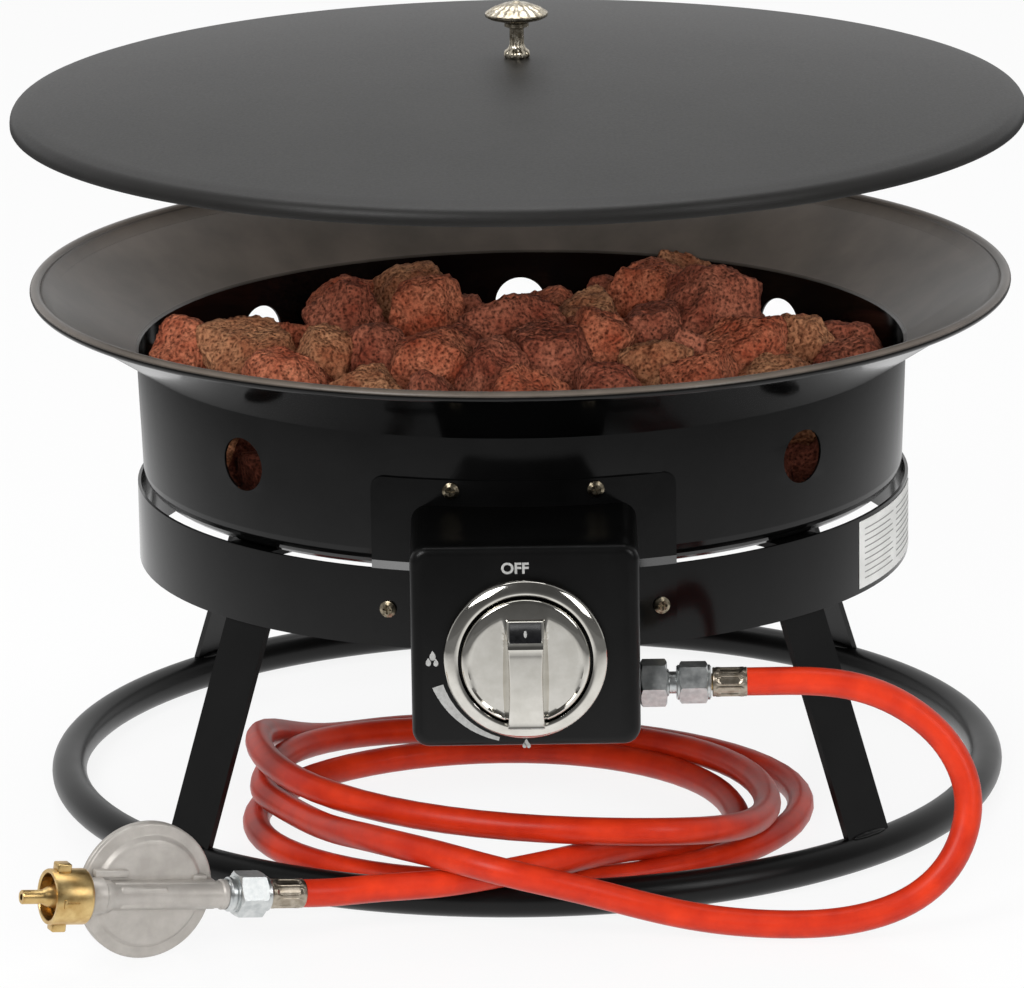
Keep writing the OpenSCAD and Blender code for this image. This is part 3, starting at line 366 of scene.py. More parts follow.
def lava(name, dark, light, pore_shade_and_speck):
    """Crushed lava rock: matt and porous, with painted shade darkening its pits, pale dust and patches of colour."""
    material, tree, place = start_material(name)
    patch = grain(tree, place, 22, 6, 0.65)
    fine = grain(tree, place, 2.2, 8, 0.7)
    pits = add_node(
        tree, "ShaderNodeTexVoronoi", {"Vector": place, "Scale": 1000 / 1.9}, feature="SMOOTH_F1"
    ).outputs["Distance"]
    body = mix_colours(tree, patch, dark, light)
    # Painted shade: the pits that the bump sinks in take the dark pit colour, in place of the shade inside the pores.
    # The same colour also makes the random fine specks.
    painted_pore_shade = add_node(tree, "ShaderNodeMapRange", {
        "Value": pits, "From Min": 0.05, "From Max": 0.42, "To Min": 0.95, "To Max": 0.0,
    }).outputs["Result"]
    speckle = add_node(tree, "ShaderNodeMapRange", {
        "Value": fine, "From Min": 0.45, "From Max": 0.62, "To Min": 0.0, "To Max": 0.7,
    }).outputs["Result"]
    dusty = add_node(
        tree, "ShaderNodeMix", {0: speckle, 6: body, 7: hex_rgb(pore_shade_and_speck)}, data_type="RGBA"
    ).outputs[2]
    deep = add_node(
        tree, "ShaderNodeMix", {0: painted_pore_shade, 6: dusty, 7: hex_rgb(pore_shade_and_speck)}, data_type="RGBA"
    ).outputs[2]
    porous = bump(tree, pits, 1.6, 1.0)
    return end_material(tree, material, {
        "Base Color": deep,
        "Roughness": 0.93,
        "Specular IOR Level": 0.2,
        "Normal": bump(tree, fine, 0.9, 0.9, porous),
    })


def studio_floor():
    """Smooth white table under the studio's light: it keeps a soft shadow and a faint reflection."""
    material, tree, place = start_material("studio_floor")
    shader = add_node(tree, "ShaderNodeBsdfPrincipled", {
        "Base Color": hex_rgb("#f4f4f4"), "Roughness": 0.2, "Specular IOR Level": 0.4,
    })
    path = add_node(tree, "ShaderNodeLightPath")
    seen = path.outputs["Is Camera Ray"]
    mirrored = add_node(tree, "ShaderNodeMath", {
        0: path.outputs["Is Glossy Ray"], 1: path.outputs["Is Transmission Ray"],
    }, operation="MAXIMUM").outputs[0]
    away = add_node(tree, "ShaderNodeVectorMath", {0: place}, operation="LENGTH").outputs["Value"]
    dimmed = add_node(tree, "ShaderNodeMapRange", {
        "Value": away, "From Min": 0.45, "From Max": 0.95, "To Min": 1.0, "To Max": 0.2,
    }).outputs["Result"]
    glow = add_node(tree, "ShaderNodeMath", {
        0: seen, 1: add_node(tree, "ShaderNodeMath", {0: mirrored, 1: dimmed}, operation="MULTIPLY").outputs[0],
    }, operation="MAXIMUM").outputs[0]
    white = add_node(tree, "ShaderNodeEmission", {"Color": (1, 1, 1, 1), "Strength": glow})
    share = add_node(tree, "ShaderNodeMath", {
        0: add_node(tree, "ShaderNodeMath", {0: seen, 1: 0.88}, operation="MULTIPLY").outputs[0], 1: mirrored,
    }, operation="MAXIMUM").outputs[0]
    both = add_node(tree, "ShaderNodeMixShader", {0: share, 1: shader.outputs["BSDF"], 2: white.outputs["Emission"]})
    add_node(tree, "ShaderNodeOutputMaterial", {"Surface": both.outputs["Shader"]})
    return material


# ---- Mesh helpers ----

def keep(obj_name, mesh_builder, material, body="root", replaces=(), smooth=40):
    """A finished piece: its mesh is in place, its object is at the origin."""
    mesh = bpy.data.meshes.new(obj_name)
    mesh_builder.to_mesh(mesh)
    mesh_builder.free()
    obj = bpy.data.objects.new(obj_name, mesh)
    bpy.context.scene.collection.objects.link(obj)
    mesh.materials.append(material)
    for polygon in mesh.polygons:
        polygon.use_smooth = True
    mesh.set_sharp_from_angle(angle=radians(smooth))
    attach(obj, body)
    if replaces:
        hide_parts(*replaces)
    return obj


def lathe(bm, profile, steps=96, closed=False):
    """Spins (radius, height) points in millimetres about Z; closed joins the last to the first."""
    verts = [bm.verts.new((r * MM, 0, z * MM)) for r, z in profile]
    pairs = list(zip(verts, verts[1:])) + ([(verts[-1], verts[0])] if closed else [])
    edges = [bm.edges.new(pair) for pair in pairs]
    bmesh.ops.spin(
        bm, geom=verts + edges, axis=(0, 0, 1), cent=(0, 0, 0), dvec=(0, 0, 0),
        angle=2 * pi, steps=steps, use_merge=True, use_duplicate=False,
    )
    bmesh.ops.remove_doubles(bm, verts=bm.verts, dist=1e-6)
    bmesh.ops.recalc_face_normals(bm, faces=bm.faces)


def merge(bm, other):
    """Adds one mesh builder to another."""
    mesh = bpy.data.meshes.new("part")
    other.to_mesh(mesh)
    other.free()
    bm.from_mesh(mesh)
    bpy.data.meshes.remove(mesh)


def block(bm, low, high, edge=0.6, segments=2):
    """A box with rounded edges between two corners in millimetres."""
    part = bmesh.new()
    bmesh.ops.create_cube(part, size=1.0)
    for v in part.verts:
        v.co = Vector([(low[i] + (v.co[i] + 0.5) * (high[i] - low[i])) * MM for i in range(3)])
    bmesh.ops.bevel(
        part, geom=list(part.edges), offset=edge * MM, segments=segments, profile=0.5,
        affect="EDGES", material=-1,
    )
    merge(bm, part)


def hexagon(bm, across, start, end, bore=0.0):
    """A hexagon with turned corners, from start to end along Z, in millimetres."""
    part = bmesh.new()
    steps = 96
    turned = across / 2 * 0.97
    ring = bmesh.ops.create_circle(part, segments=steps, radius=1.0)["verts"]
    edges = list(part.edges)

    def shape(verts, radius, height):
        for v in verts:
            angle = atan2(v.co.y, v.co.x)
            lean = (degrees(angle) + 360 + 30) % 60 - 30
            corner = across / 2 / cos(radians(lean))
            r, z = radius(corner), height(corner)
            v.co = Vector((r * cos(angle), r * sin(angle), z)) * MM

    def lengthen(edges):
        made = bmesh.ops.extrude_edge_only(part, edges=edges)["geom"]
        return [g for g in made if isinstance(g, bmesh.types.BMVert)], [
            g for g in made if isinstance(g, bmesh.types.BMEdge) and len(g.link_faces) == 1
        ]

    slope = tan(radians(30))
    stages = [
        (lambda c: turned, lambda c: start),
        (lambda c: c, lambda c: start + max(0.0, c - turned) * slope),
        (lambda c: c, lambda c: end - max(0.0, c - turned) * slope),
        (lambda c: turned, lambda c: end),
    ]
    angles = {v: atan2(v.co.y, v.co.x) for v in ring}
    shape(ring, *stages[0])
    first = edges
    for stage in stages[1:]:
        verts, edges = lengthen(edges)
        shape(verts, *stage)
    if bore:
        verts, hole_top = lengthen(edges)
        for v in verts:
            v.co.xy = v.co.xy.normalized() * bore * MM
        verts, hole_low = lengthen(first)
        for v in verts:
            v.co.xy = v.co.xy.normalized() * bore * MM
        bmesh.ops.bridge_loops(part, edges=hole_top + hole_low)
    else:
        bmesh.ops.holes_fill(part, edges=part.edges, sides=steps)
    bmesh.ops.recalc_face_normals(part, faces=part.faces)
    merge(bm, part)


def turned(bm, profile, steps=64):
    """A lathed part that joins others in one piece."""
    part = bmesh.new()
    lathe(part, profile, steps)
    merge(bm, part)


ON_INLET = Matrix.Translation(Vector((0, VALVE_Y, INLET_Z)) * MM) @ Matrix.Rotation(pi / 2, 4, "Y")
ON_FRONT = Matrix.Translation(Vector((0, -BOX_FRONT, KNOB_Z)) * MM) @ Matrix.Rotation(pi / 2, 4, "X")
ON_REGULATOR = (
    Matrix.Translation(REGULATOR_AT)
    @ Matrix.Rotation(radians(REGULATOR_TURN), 4, "Z")
    @ Matrix.Rotation(radians(-REGULATOR_TILT), 4, "Y")
)
ON_TUBE = ON_REGULATOR @ Matrix.Rotation(pi / 2, 4, "Y")
ON_CASE = ON_REGULATOR @ Matrix.Translation((CASE_S * MM, 0, 0)) @ Matrix.Rotation(-pi / 2, 4, "X")


# ---- Hose ----

LEAD = [
    (103, -236, 116), (116, -236, 116), (132, -236, 116), (151, -236, 114),
    (169, -237, 108), (185, -239, 98), (197, -242, 86), (204, -246, 72),
    (206, -249, 60), (204, -254, 47), (198, -258, 34), (188, -262, 23),
    (173, -265, 14), (154, -267, 9), (135, -268, 7), (112, -267, 7),
    (90, -264, 8), (70, -262, 11), (51, -262, 16), (33, -264, 22),
    (14, -267, 28), (-5, -268, 33), (-23, -262, 36), (-38, -249, 36.5),
    (-52, -237, 36.5), (-66, -223, 35.5), (-80, -203, 33), (-95, -175, 27),
    (-109, -144, 24), (-121, -119, 23), (-128, -104, 23), (-130, -94, 23),
]
COIL = [
    (-130, -80, 23, 1), (-38, 39, 11, 1), (119, -110, 19, 1), (44, -221, 38.3, 1),
    (-135, -66, 40, 1.5), (-50, 60, 6.7, 1), (138, -74, 6.7, 1), (-4, -203, 6.7, 1),
    (-136, -95, 6.7, 1), (-12, 17, 6.7, 1), (103, -96, 6.7, 1),
]
TAIL = [
    (103, -110, 6.7), (102, -118, 6.7), (97, -134, 7), (87, -150, 9),
    (75, -165, 13), (62, -178, 18), (48, -191, 21), (33, -204, 23),
    (14, -221, 24), (-5, -234, 24.5), (-23, -241, 23.5), (-37, -243, 22),
    (-51, -244, 21), (-65, -244, 20.5), (-79, -246, 20), (-94, -250.5, 20),
    (-106, -256, 22),
]
COIL_STEPS = 16
HOSE_SMOOTHING = 10


def coil_point(i, angle):
    a, b = COIL[i], COIL[i + 1]
    climb = (1 - cos(2 * min(pi / 2, a[3] * angle))) / 2
    z = a[2] + (b[2] - a[2]) * climb
    if i % 2 == 0:
        return b[0] + (a[0] - b[0]) * cos(angle), a[1] + (b[1] - a[1]) * sin(angle), z
    return a[0] + (b[0] - a[0]) * sin(angle), b[1] + (a[1] - b[1]) * cos(angle), z


def curved(points, steps):
    """Points of a smooth line through the given ones."""
    line = []
    for i in range(len(points) - 1):
        p = [Vector(points[max(0, min(len(points) - 1, i + k))]) for k in (-1, 0, 1, 2)]
        for k in range(steps):
            t = k / steps
            line.append(0.5 * (
                2 * p[1] + (p[2] - p[0]) * t + (2 * p[0] - 5 * p[1] + 4 * p[2] - p[3]) * t * t
                + (3 * p[1] - p[0] - 3 * p[2] + p[3]) * t ** 3
            ))
    return line


def hose_route():
    """The hose's middle line from the valve's ferrule to the regulator's, in metres."""
    turns = [
        Vector(coil_point(i, pi / 2 * k / COIL_STEPS))
        for i in range(len(COIL) - 1) for k in range(COIL_STEPS)
    ]
    line = curved(LEAD, 4) + [Vector(LEAD[-1])] + turns + [Vector(COIL[-1][:3])] + curved(TAIL, 4)
    line.append(Vector(TAIL[-1]))
    for _ in range(HOSE_SMOOTHING):
        line = line[:2] + [
            line[i] * 0.5 + (line[i - 1] + line[i + 1]) * 0.25 for i in range(2, len(line) - 2)
        ] + line[-2:]
    return [point * MM for point in line]


def add_hose(rubber):
    route = hose_route()
    data = bpy.data.curves.new("gas_hose", "CURVE")
    data.dimensions = "3D"
    data.bevel_depth = HOSE_R * MM
    data.bevel_resolution = 8
    data.use_fill_caps = True
    spline = data.splines.new("POLY")
    spline.points.add(len(route) - 1)
    for point, place in zip(spline.points, route):
        point.co = (*place, 1.0)
    spline.use_smooth = True
    data.materials.append(rubber)
    hose = bpy.data.objects.new("gas_hose", data)
    bpy.context.scene.collection.objects.link(hose)
    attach(hose, "root")
    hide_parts("hose_lead", "hose_coil", "hose_tail")
    length = sum((b - a).length for a, b in zip(route, route[1:]))
    return hose, route, length


# ---- Bezel, knob and prints ----

def add_bezel(chrome):
    bm = bmesh.new()
    lathe(bm, [
        (31.0, 0.2), (31.0, 5.6), (31.3, 6.4), (32.2, 6.9), (33.4, 6.8), (37.0, 5.0),
        (37.7, 4.3), (38.0, 3.4), (38.0, 0.0), (31.0, 0.0),
    ], closed=True)
    bm.transform(ON_FRONT)
    return keep("knob_bezel_ring", bm, chrome, replaces=("knob_bezel",))


GRIP_TOP = 21.0
GRIP_BOTTOM = -29.4
GRIP_FOOT = 7.0
SCOOP_R = 26.0
SCOOP_MID = -2.0
SCOOP_FLOOR = 8.4
# The grip's front, from its lower end to its upper end: place and height.
GRIP_LINE = [
    (-29.4, 19.2), (-27.5, 20.2), (-20.0, 21.6), (-12.0, 22.6), (-4.0, 23.2), (4.0, 23.6), (8.0, 23.7),
    (10.5, 23.3), (11.5, 22.6), (21.0, 12.2),
]


def line_at(line, x):
    """The height of a line of points at x."""
    for (x0, z0), (x1, z1) in zip(line, line[1:]):
        if x <= x1:
            return z0 + (z1 - z0) * (x - x0) / (x1 - x0)
    return line[-1][1]


def grip_half(y):
    """Half the grip's width at its front: narrow in the middle and wider at its ends."""
    return 8.75 - 1.25 * cos(pi / 2 * max(-1, min(1, (y + 6) / 26)))


def knob_disc(bm):
    """The knob's disc: a low dome, hollow at its back, with a flat scoop on each side of the grip."""
    part = bmesh.new()
    dome = [(r, 8.0 + 4.5 * (1 - (r / 29.4) ** 2)) for r in list(range(1, 28)) + [28, 28.6]]
    lathe(part, [(0, 12.5)] + dome + [(29.2, 7.9), (29.7, 7.3), (29.9, 6.6), (29.9, 4.0), (29.5, 3.5),
                 (27.8, 3.5), (27.8, 6.4), (0, 6.4)], 256)
    for v in part.verts:
        x, y, z = (c / MM for c in v.co)
        if z < SCOOP_FLOOR:
            continue
        reach = hypot(x, y - SCOOP_MID)
        wall = grip_half(y) + 1.0
        cut_in = max(0.0, min(1.0, (abs(x) - wall) / 0.8)) * max(0.0, min(1.0, (SCOOP_R + 0.6 - reach) / 0.6))
        v.co.z = (z + (SCOOP_FLOOR + 0.05 * y - z) * cut_in) * MM
    merge(bm, part)


def knob_grip(bm):
    """The grip bar: scooped flanks, a long front and a slope at the pointer's end."""
    part = bmesh.new()
    bmesh.ops.create_cube(part, size=1.0)
    for axis, cuts in ((1, 32), (2, 8)):
        along = [e for e in part.edges if abs((e.verts[0].co - e.verts[1].co)[axis]) > 0.9]
        bmesh.ops.subdivide_edges(part, edges=along, cuts=cuts, use_grid_fill=True)
    for v in part.verts:
        across, along, up = v.co.x * 2, v.co.y + 0.5, v.co.z + 0.5
        y = GRIP_BOTTOM + along * (GRIP_TOP - GRIP_BOTTOM)
        top = line_at(GRIP_LINE, y)
        middle = cos(pi / 2 * max(-1, min(1, (y + 4) / 26)))
        half = grip_half(y) + (1.2 + 2.2 * middle) * (1 - up) ** 2.2
        v.co = Vector((across * half, y, GRIP_FOOT + up * (top - GRIP_FOOT))) * MM
    rim = [e for e in part.edges if e.is_manifold and e.calc_face_angle(0) > radians(50)]
    bmesh.ops.bevel(part, geom=rim, offset=0.7 * MM, segments=3, profile=0.5, affect="EDGES", material=-1)
    bmesh.ops.recalc_face_normals(part, faces=part.faces)
    merge(bm, part)


def add_knob(chrome, black, ink):
    bm = bmesh.new()
    knob_disc(bm)
    knob_grip(bm)
    for v in bm.verts:
        reach = hypot(v.co.x, v.co.y)
        if reach > 29.9 * MM:
            v.co.xy = v.co.xy * (29.9 * MM / reach)
    bm.transform(ON_FRONT)
    keep("knob_grip_disc", bm, chrome, "knob", ("control_knob",), 32)

    slope = Matrix.Translation(Vector((0, 16.25, 17.4)) * MM) @ Matrix.Rotation(radians(-47.6), 4, "X")
    bm = bmesh.new()
    block(bm, (-7.4, -6.0, -0.4), (7.4, 6.0, 0.3), 0.25)
    bm.transform(ON_FRONT @ slope)
    keep("knob_window_insert", bm, black, "knob", ("knob_window",))

    bm = bmesh.new()
    bmesh.ops.create_circle(bm, cap_ends=True, segments=24, radius=1.0 * MM)
    for v in bm.verts:
        v.co = Vector((v.co.x * 0.75, v.co.y * 1.9 - 0.4 * MM, 0.32 * MM))
    raised = bmesh.ops.extrude_face_region(bm, geom=bm.faces[:])["geom"]
    for v in [g for g in raised if isinstance(g, bmesh.types.BMVert)]:
        v.co.z += 0.1 * MM
    bmesh.ops.recalc_face_normals(bm, faces=bm.faces)
    bm.transform(ON_FRONT @ slope)
    keep("knob_pointer_dot", bm, ink, "knob")


PRINT_Z = 0.04
PRINT_T = 0.1


def print_face(name, points, ink):
    """A thin raised print on the box's front, from an outline in millimetres."""
    bm = bmesh.new()
    face = bm.faces.new([bm.verts.new(Vector((x, y, PRINT_Z)) * MM) for x, y in points])
    raised = bmesh.ops.extrude_face_region(bm, geom=[face])["geom"]
    for v in [g for g in raised if isinstance(g, bmesh.types.BMVert)]:
        v.co.z += PRINT_T * MM
    bmesh.ops.recalc_face_normals(bm, faces=bm.faces)
    bm.transform(ON_FRONT)
    return keep(name, bm, ink)


def flame_outline(x, y, size):
    """A small flame: round at its foot and pointed at its tip."""
    points = []
    for i in range(24):
        t = 2 * pi * i / 24
        pinch = (1 + sin(t)) / 2
        points.append((x + size * 0.36 * cos(t) * (1 - 0.75 * pinch ** 2), y + size * 0.5 * sin(t)))
    return points


def wedge_outline():
    """The flame scale beside the knob, wide at high and narrow at low."""
    steps = 24
    inner, outer = [], []
    for i in range(steps + 1):
        angle = radians(198 + 54 * i / steps)
        inner.append((40.3 * cos(angle), 40.3 * sin(angle)))
        reach = 45.6 - 3.6 * i / steps
        outer.append((reach * cos(angle), reach * sin(angle)))
    return inner + outer[::-1]


def add_prints(ink):
    print_face("print_scale", wedge_outline(), ink)
    for i, (x, y, size) in enumerate((
        (-43.0, 1.4, 4.6), (-45.0, -1.6, 3.9), (-41.5, -1.9, 3.7), (-1.1, -42.3, 2.9), (0.9, -42.5, 2.7), (-0.2, -40.9, 3.2),
    )):
        print_face(f"print_flame_{i + 1}", flame_outline(x, y, size), ink)
    data = bpy.data.curves.new("print_off", "FONT")
    data.body = "OFF"
    data.size = 7.2 * MM
    data.offset = 0.22 * MM
    data.extrude = PRINT_T / 2 * MM
    data.align_x = "CENTER"
    data.space_character = 1.02
    text = bpy.data.objects.new("print_off_text", data)
    bpy.context.scene.collection.objects.link(text)
    mesh = bpy.data.meshes.new_from_object(text)
    bpy.data.objects.remove(text)
    mesh.transform(ON_FRONT @ Matrix.Translation(Vector((-4.4, 40.4, PRINT_Z + PRINT_T / 2)) * MM))
    obj = bpy.data.objects.new("print_off", mesh)
    bpy.context.scene.collection.objects.link(obj)
    mesh.materials.clear()
    mesh.materials.append(ink)
    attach(obj, "root")


# ---- Control box ----

def add_box(coat):
    """The deep-drawn box: rounded front edges, and a back that follows the plate's curve."""
    bm = bmesh.new()
    bmesh.ops.create_cube(bm, size=1.0)
    for v in bm.verts:
        v.co = Vector((
            v.co.x * BOX_W, -BOX_FRONT + (v.co.y + 0.5) * 60, BOX_Z + (v.co.z + 0.5) * BOX_H,
        )) * MM
    deep = [e for e in bm.edges if abs((e.verts[0].co - e.verts[1].co).y) > 0.01]
    bmesh.ops.bevel(bm, geom=deep, offset=8 * MM, segments=8, profile=0.5, affect="EDGES", material=-1)
    front = [e for e in bm.edges if all(v.co.y < -(BOX_FRONT - 0.1) * MM for v in e.verts)]
    bmesh.ops.bevel(bm, geom=front, offset=4.5 * MM, segments=6, profile=0.5, affect="EDGES", material=-1)
    back = [f for f in bm.faces if all(v.co.y > -200.1 * MM for v in f.verts)]
    bmesh.ops.delete(bm, geom=back, context="FACES_ONLY")
    for i in range(-6, 7):
        bmesh.ops.bisect_plane(
            bm, geom=bm.verts[:] + bm.edges[:] + bm.faces[:], plane_co=(i * 7 * MM, 0, 0), plane_no=(1, 0, 0),
        )
    for v in bm.verts:
        if v.co.y > -200.5 * MM:
            reach = (PLATE_HIGH_R if v.co.z > JOGGLE_Z * MM else PLATE_LOW_R) + 0.25
            v.co.y = -sqrt(reach ** 2 - (v.co.x / MM) ** 2) * MM
    bmesh.ops.recalc_face_normals(bm, faces=bm.faces)
    obj = keep("control_box_shell", bm, coat, replaces=("control_box",), smooth=50)
    wall = obj.modifiers.new("sheet", "SOLIDIFY")
    wall.thickness = 1.2 * MM
    wall.offset = -1.0
    return obj


# ---- Fittings ----

def add_fittings(zinc, crimp, brass):
    bm = bmesh.new()
    hexagon(bm, 20.0, 53.3, 65.7)
    turned(bm, [(0, 12), (5.8, 12), (5.8, 53.3), (8.6, 53.4), (8.6, 53.8), (0, 53.8)])
    turned(bm, [(0, 65.4), (6.4, 65.4), (6.4, 66.3), (5.2, 66.9), (5.2, 70.0), (0, 70.0)])
    bm.transform(ON_INLET)
    keep("inlet_adapter_body", bm, zinc, replaces=("inlet_adapter",), smooth=30)

    bm = bmesh.new()
    hexagon(bm, 17.6, 71.4, 84.6)
    turned(bm, [(4.3, 70.05), (7.6, 70.05), (8.2, 70.7), (8.2, 71.6), (4.3, 71.6)])
    turned(bm, [(4.3, 84.4), (8.2, 84.4), (8.2, 85.6), (7.4, 86.25), (4.3, 86.25)])
    bm.transform(ON_INLET)
    nut_valve = keep("hose_nut_at_valve", bm, zinc, replaces=("hose_nut_valve",), smooth=30)

    ferrule_valve = add_ferrule("ferrule_at_valve", "hose_ferrule_valve", ON_INLET, 86.85, 103.0, crimp)
    ferrule_end = add_ferrule("ferrule_at_regulator", "hose_ferrule_regulator", ON_TUBE, 0.0, 17.55, crimp)

    bm = bmesh.new()
    hexagon(bm, 19.5, 20.5, 34.5)
    turned(bm, [(4.3, 17.75), (7.7, 17.75), (8.2, 18.3), (8.2, 20.9), (4.3, 20.9)])
    turned(bm, [
        (4.3, 34.2), (8.4, 34.2), (8.4, 35.3), (7.4, 35.8), (7.4, 36.3), (8.1, 36.7),
        (8.1, 37.9), (7.4, 38.5), (7.2, 39.3), (4.3, 39.3),
    ])
    bm.transform(ON_TUBE)
    nut_end = keep("hose_nut_at_regulator", bm, zinc, replaces=("hose_nut_regulator",), smooth=30)
    return [nut_valve, ferrule_valve, ferrule_end, nut_end]


def add_ferrule(name, node, frame_matrix, start, end, crimp):
    """A crimped sleeve with a row of long pressed loops round it."""
    bm = bmesh.new()
    length = end - start
    stations = [0, 0.4, 1.2] + [1.2 + (length - 2.4) * k / 24 for k in range(1, 24)] + [length - 1.2, length - 0.4, length]
    radii = [6.6, 6.9] + [7.0] * (len(stations) - 4) + [6.9, 6.6]
    profile = [(4.3, start)] + [(r, start + s) for r, s in zip(radii, stations)] + [(4.3, end)]
    lathe(bm, profile, 128)
    for v in bm.verts:
        reach = hypot(v.co.x, v.co.y) / MM
        if reach < 6.95:
            continue
        turn = (degrees(atan2(v.co.y, v.co.x)) % 45 - 22.5) / 22.5
        along = (v.co.z / MM - start - length / 2) / (length / 2 - 2.2)
        oval = sqrt(abs(turn / 0.78) ** 4 + abs(along) ** 4)
        ridge = max(0.0, 1 - abs(oval - 0.95) / 0.28)
        sunk = 1.0 if oval < 0.8 else 0.0
        change = 0.0 * ridge - 0.55 * sunk - 0.25 * (1 if oval > 1.25 else 0)
        v.co.xy = v.co.xy * ((reach + change) / reach)
    bm.transform(frame_matrix)
    return keep(name, bm, crimp, replaces=(node,), smooth=60)


def add_regulator(alloy, brass, zinc):
    """The regulator: a round case with a raised face, and a cast outlet arm across it."""
    bm = bmesh.new()
    turned(bm, [
        (0, -9.9), (32.1, -9.9), (32.5, -9.4), (32.5, -7.9), (32.1, -7.3), (31.4, -7.0), (27.4, -6.8),
        (26.6, -6.4), (25.6, -4.6), (24.6, -4.0), (22, -3.7), (0, -3.3),
    ], 160)
    bm.transform(Matrix.Rotation(pi / 2, 4, "X") @ Matrix.Identity(4))
    bm.transform(ON_REGULATOR @ Matrix.Translation((CASE_S * MM, 0, 0)) @ Matrix.Rotation(pi, 4, "X"))
    arm = bmesh.new()
    turned(arm, [
        (3, 39.4), (6.9, 39.4), (7.1, 39.9), (7.1, 41.6), (6.4, 42.4), (6.4, 96), (7.6, 98), (7.6, 100.5),
        (8.6, 101.2), (8.6, 107.6), (8.2, 108.3), (3, 108.3),
    ], 96)
    arm.transform(Matrix.Rotation(pi / 2, 4, "Y"))
    block(arm, (44, -7.0, -6.6), (96, 2.4, 6.6), 1.2, 3)
    block(arm, (70, -7.0, -5.2), (94, 5.8, 5.2), 1.6, 3)
    block(arm, (88, -6.0, 8.2), (104.5, -1.4, 11.6), 0.6, 2)
    block(arm, (48, -6.0, 6.2), (55, -2.0, 8.6), 0.6, 2)
    block(arm, (47, -6.0, -8.2), (58, -2.6, -6.0), 0.6, 2)
    arm.transform(ON_REGULATOR)
    merge(bm, arm)
    body = keep("regulator_case", bm, alloy, replaces=("regulator_body",), smooth=35)

    bm = bmesh.new()
    turned(bm, [
        (0, 18.0), (21, 18.0), (23, 17.4), (24.6, 15.4), (25.4, 13.4), (31.4, 13.0), (32.4, 12.5),
        (32.5, 11.8), (32.5, 10.4), (32.2, 10.05), (0, 10.05),
    ], 128)
    bm.transform(ON_REGULATOR @ Matrix.Translation((CASE_S * MM, 0, 0)) @ Matrix.Rotation(pi / 2, 4, "X"))
    cover = keep("regulator_back_cover", bm, alloy, replaces=("regulator_cover",), smooth=35)

    bm = bmesh.new()
    start = 109.0
    end = 128.0
    turned(bm, [
        (5.05, start), (11.0, start), (12.0, start + 0.4), (12.9, start + 1.4), (13.0, start + 2.0),
        (13.0, end - 0.8), (12.6, end), (11.2, end), (10.9, end - 0.4), (10.9, start + 4), (5.05, start + 4),
        (5.05, start),
    ], 128)
    for side in (-1, 1):
        lug = bmesh.new()
        block(lug, (-3.4, 11.6, end - 9.5), (3.4, 16.3, end - 2.5), 0.9, 3)
        lug.transform(Matrix.Rotation(pi / 2 * side, 4, "Z"))
        merge(bm, lug)
    for angle in (0, 180):
        mark = bmesh.new()
        block(mark, (-0.7, 12.4, end - 11), (0.7, 13.7, end - 3.5), 0.4, 2)
        block(mark, (-2.2, 12.4, end - 4.6), (2.2, 13.7, end - 3.2), 0.4, 2)
        mark.transform(Matrix.Rotation(radians(angle), 4, "Z"))
        merge(bm, mark)
    bm.transform(ON_TUBE)
    keep("union_nut_body", bm, brass, "union", ("union_nut",), 35)

    bm = bmesh.new()
    ribs = []
    for k in range(6):
        s = 116.6 + 0.9 * k
        ribs += [(8.6, s), (9.2, s + 0.25), (9.2, s + 0.5), (8.6, s + 0.75)]
    turned(bm, [
        (1.5, 108.7), (5.0, 108.7), (5.0, 113.3), (8.0, 113.3), (8.0, 116.4),
    ] + ribs + [
        (8.2, 122.4), (7.6, 123.0), (6.4, 123.2), (6.0, 124.4), (5.4, 125.6), (5.0, 127.4), (4.4, 128.8),
        (3.6, 130.2), (3.3, 131.2), (3.3, 140.6), (3.0, 141.0), (1.5, 141.0), (1.5, 108.7),
    ], 96)
    bm.transform(ON_TUBE)
    nozzle = keep("bottle_nozzle_body", bm, brass, replaces=("bottle_nozzle",), smooth=35)
    return [body, cover, nozzle]


# ---- Lid, ring and bowl ----

def add_ring(coat):
    bm = bmesh.new()
    lathe(bm, [
        (229.3 + 8.6 * cos(radians(a)), 8.6 + 8.6 * sin(radians(a))) for a in range(0, 360, 12)
    ], 192, closed=True)
    keep("base_ring_tube", bm, coat, replaces=("base_ring",), smooth=80)


def add_rolled_rim(enamel):
    """The flare's rolled edge: one smooth bead that runs out into the sheet."""
    centre = Vector((238.7, 254.9))
    along, up = Vector((0.8373, 0.5468)), Vector((-0.5468, 0.8373))
    foot = centre + 0.696 * up
    profile = [foot - 9.0 * along + 0.1 * up, foot - 5.0 * along + 0.3 * up, foot - 3.6 * along + 0.7 * up]
    profile += [
        centre + 2.75 * Vector((cos(radians(a)), sin(radians(a)))) for a in range(176, -126, -12)
    ]
    profile.append(foot - 9.0 * along - 0.6 * up)
    bm = bmesh.new()
    lathe(bm, [tuple(point) for point in profile], 256, closed=True)
    keep("rolled_rim", bm, enamel, smooth=60)


def add_weld_beads(coat):
    """A low fillet of weld where each leg meets the ring."""
    bm = bmesh.new()
    for angle in (45, 135, 225, 315):
        for side in (-1.9, 1.9):
            bead = bmesh.new()
            bmesh.ops.create_uvsphere(bead, u_segments=24, v_segments=12, radius=1.0)
            for v in bead.verts:
                ripple = 1 + 0.12 * sin(14 * v.co.y)
                v.co = Vector((v.co.x * 1.5 * ripple, v.co.y * 11.4, v.co.z * 1.5 * ripple)) * MM
            bead.transform(
                Matrix.Rotation(radians(angle), 4, "Z")
                @ Matrix.Translation(Vector((229.3 - 0.3 + side * 1.2, 0, 17.1)) * MM)
            )
            merge(bm, bead)
    keep("leg_weld_beads", bm, coat, smooth=80)


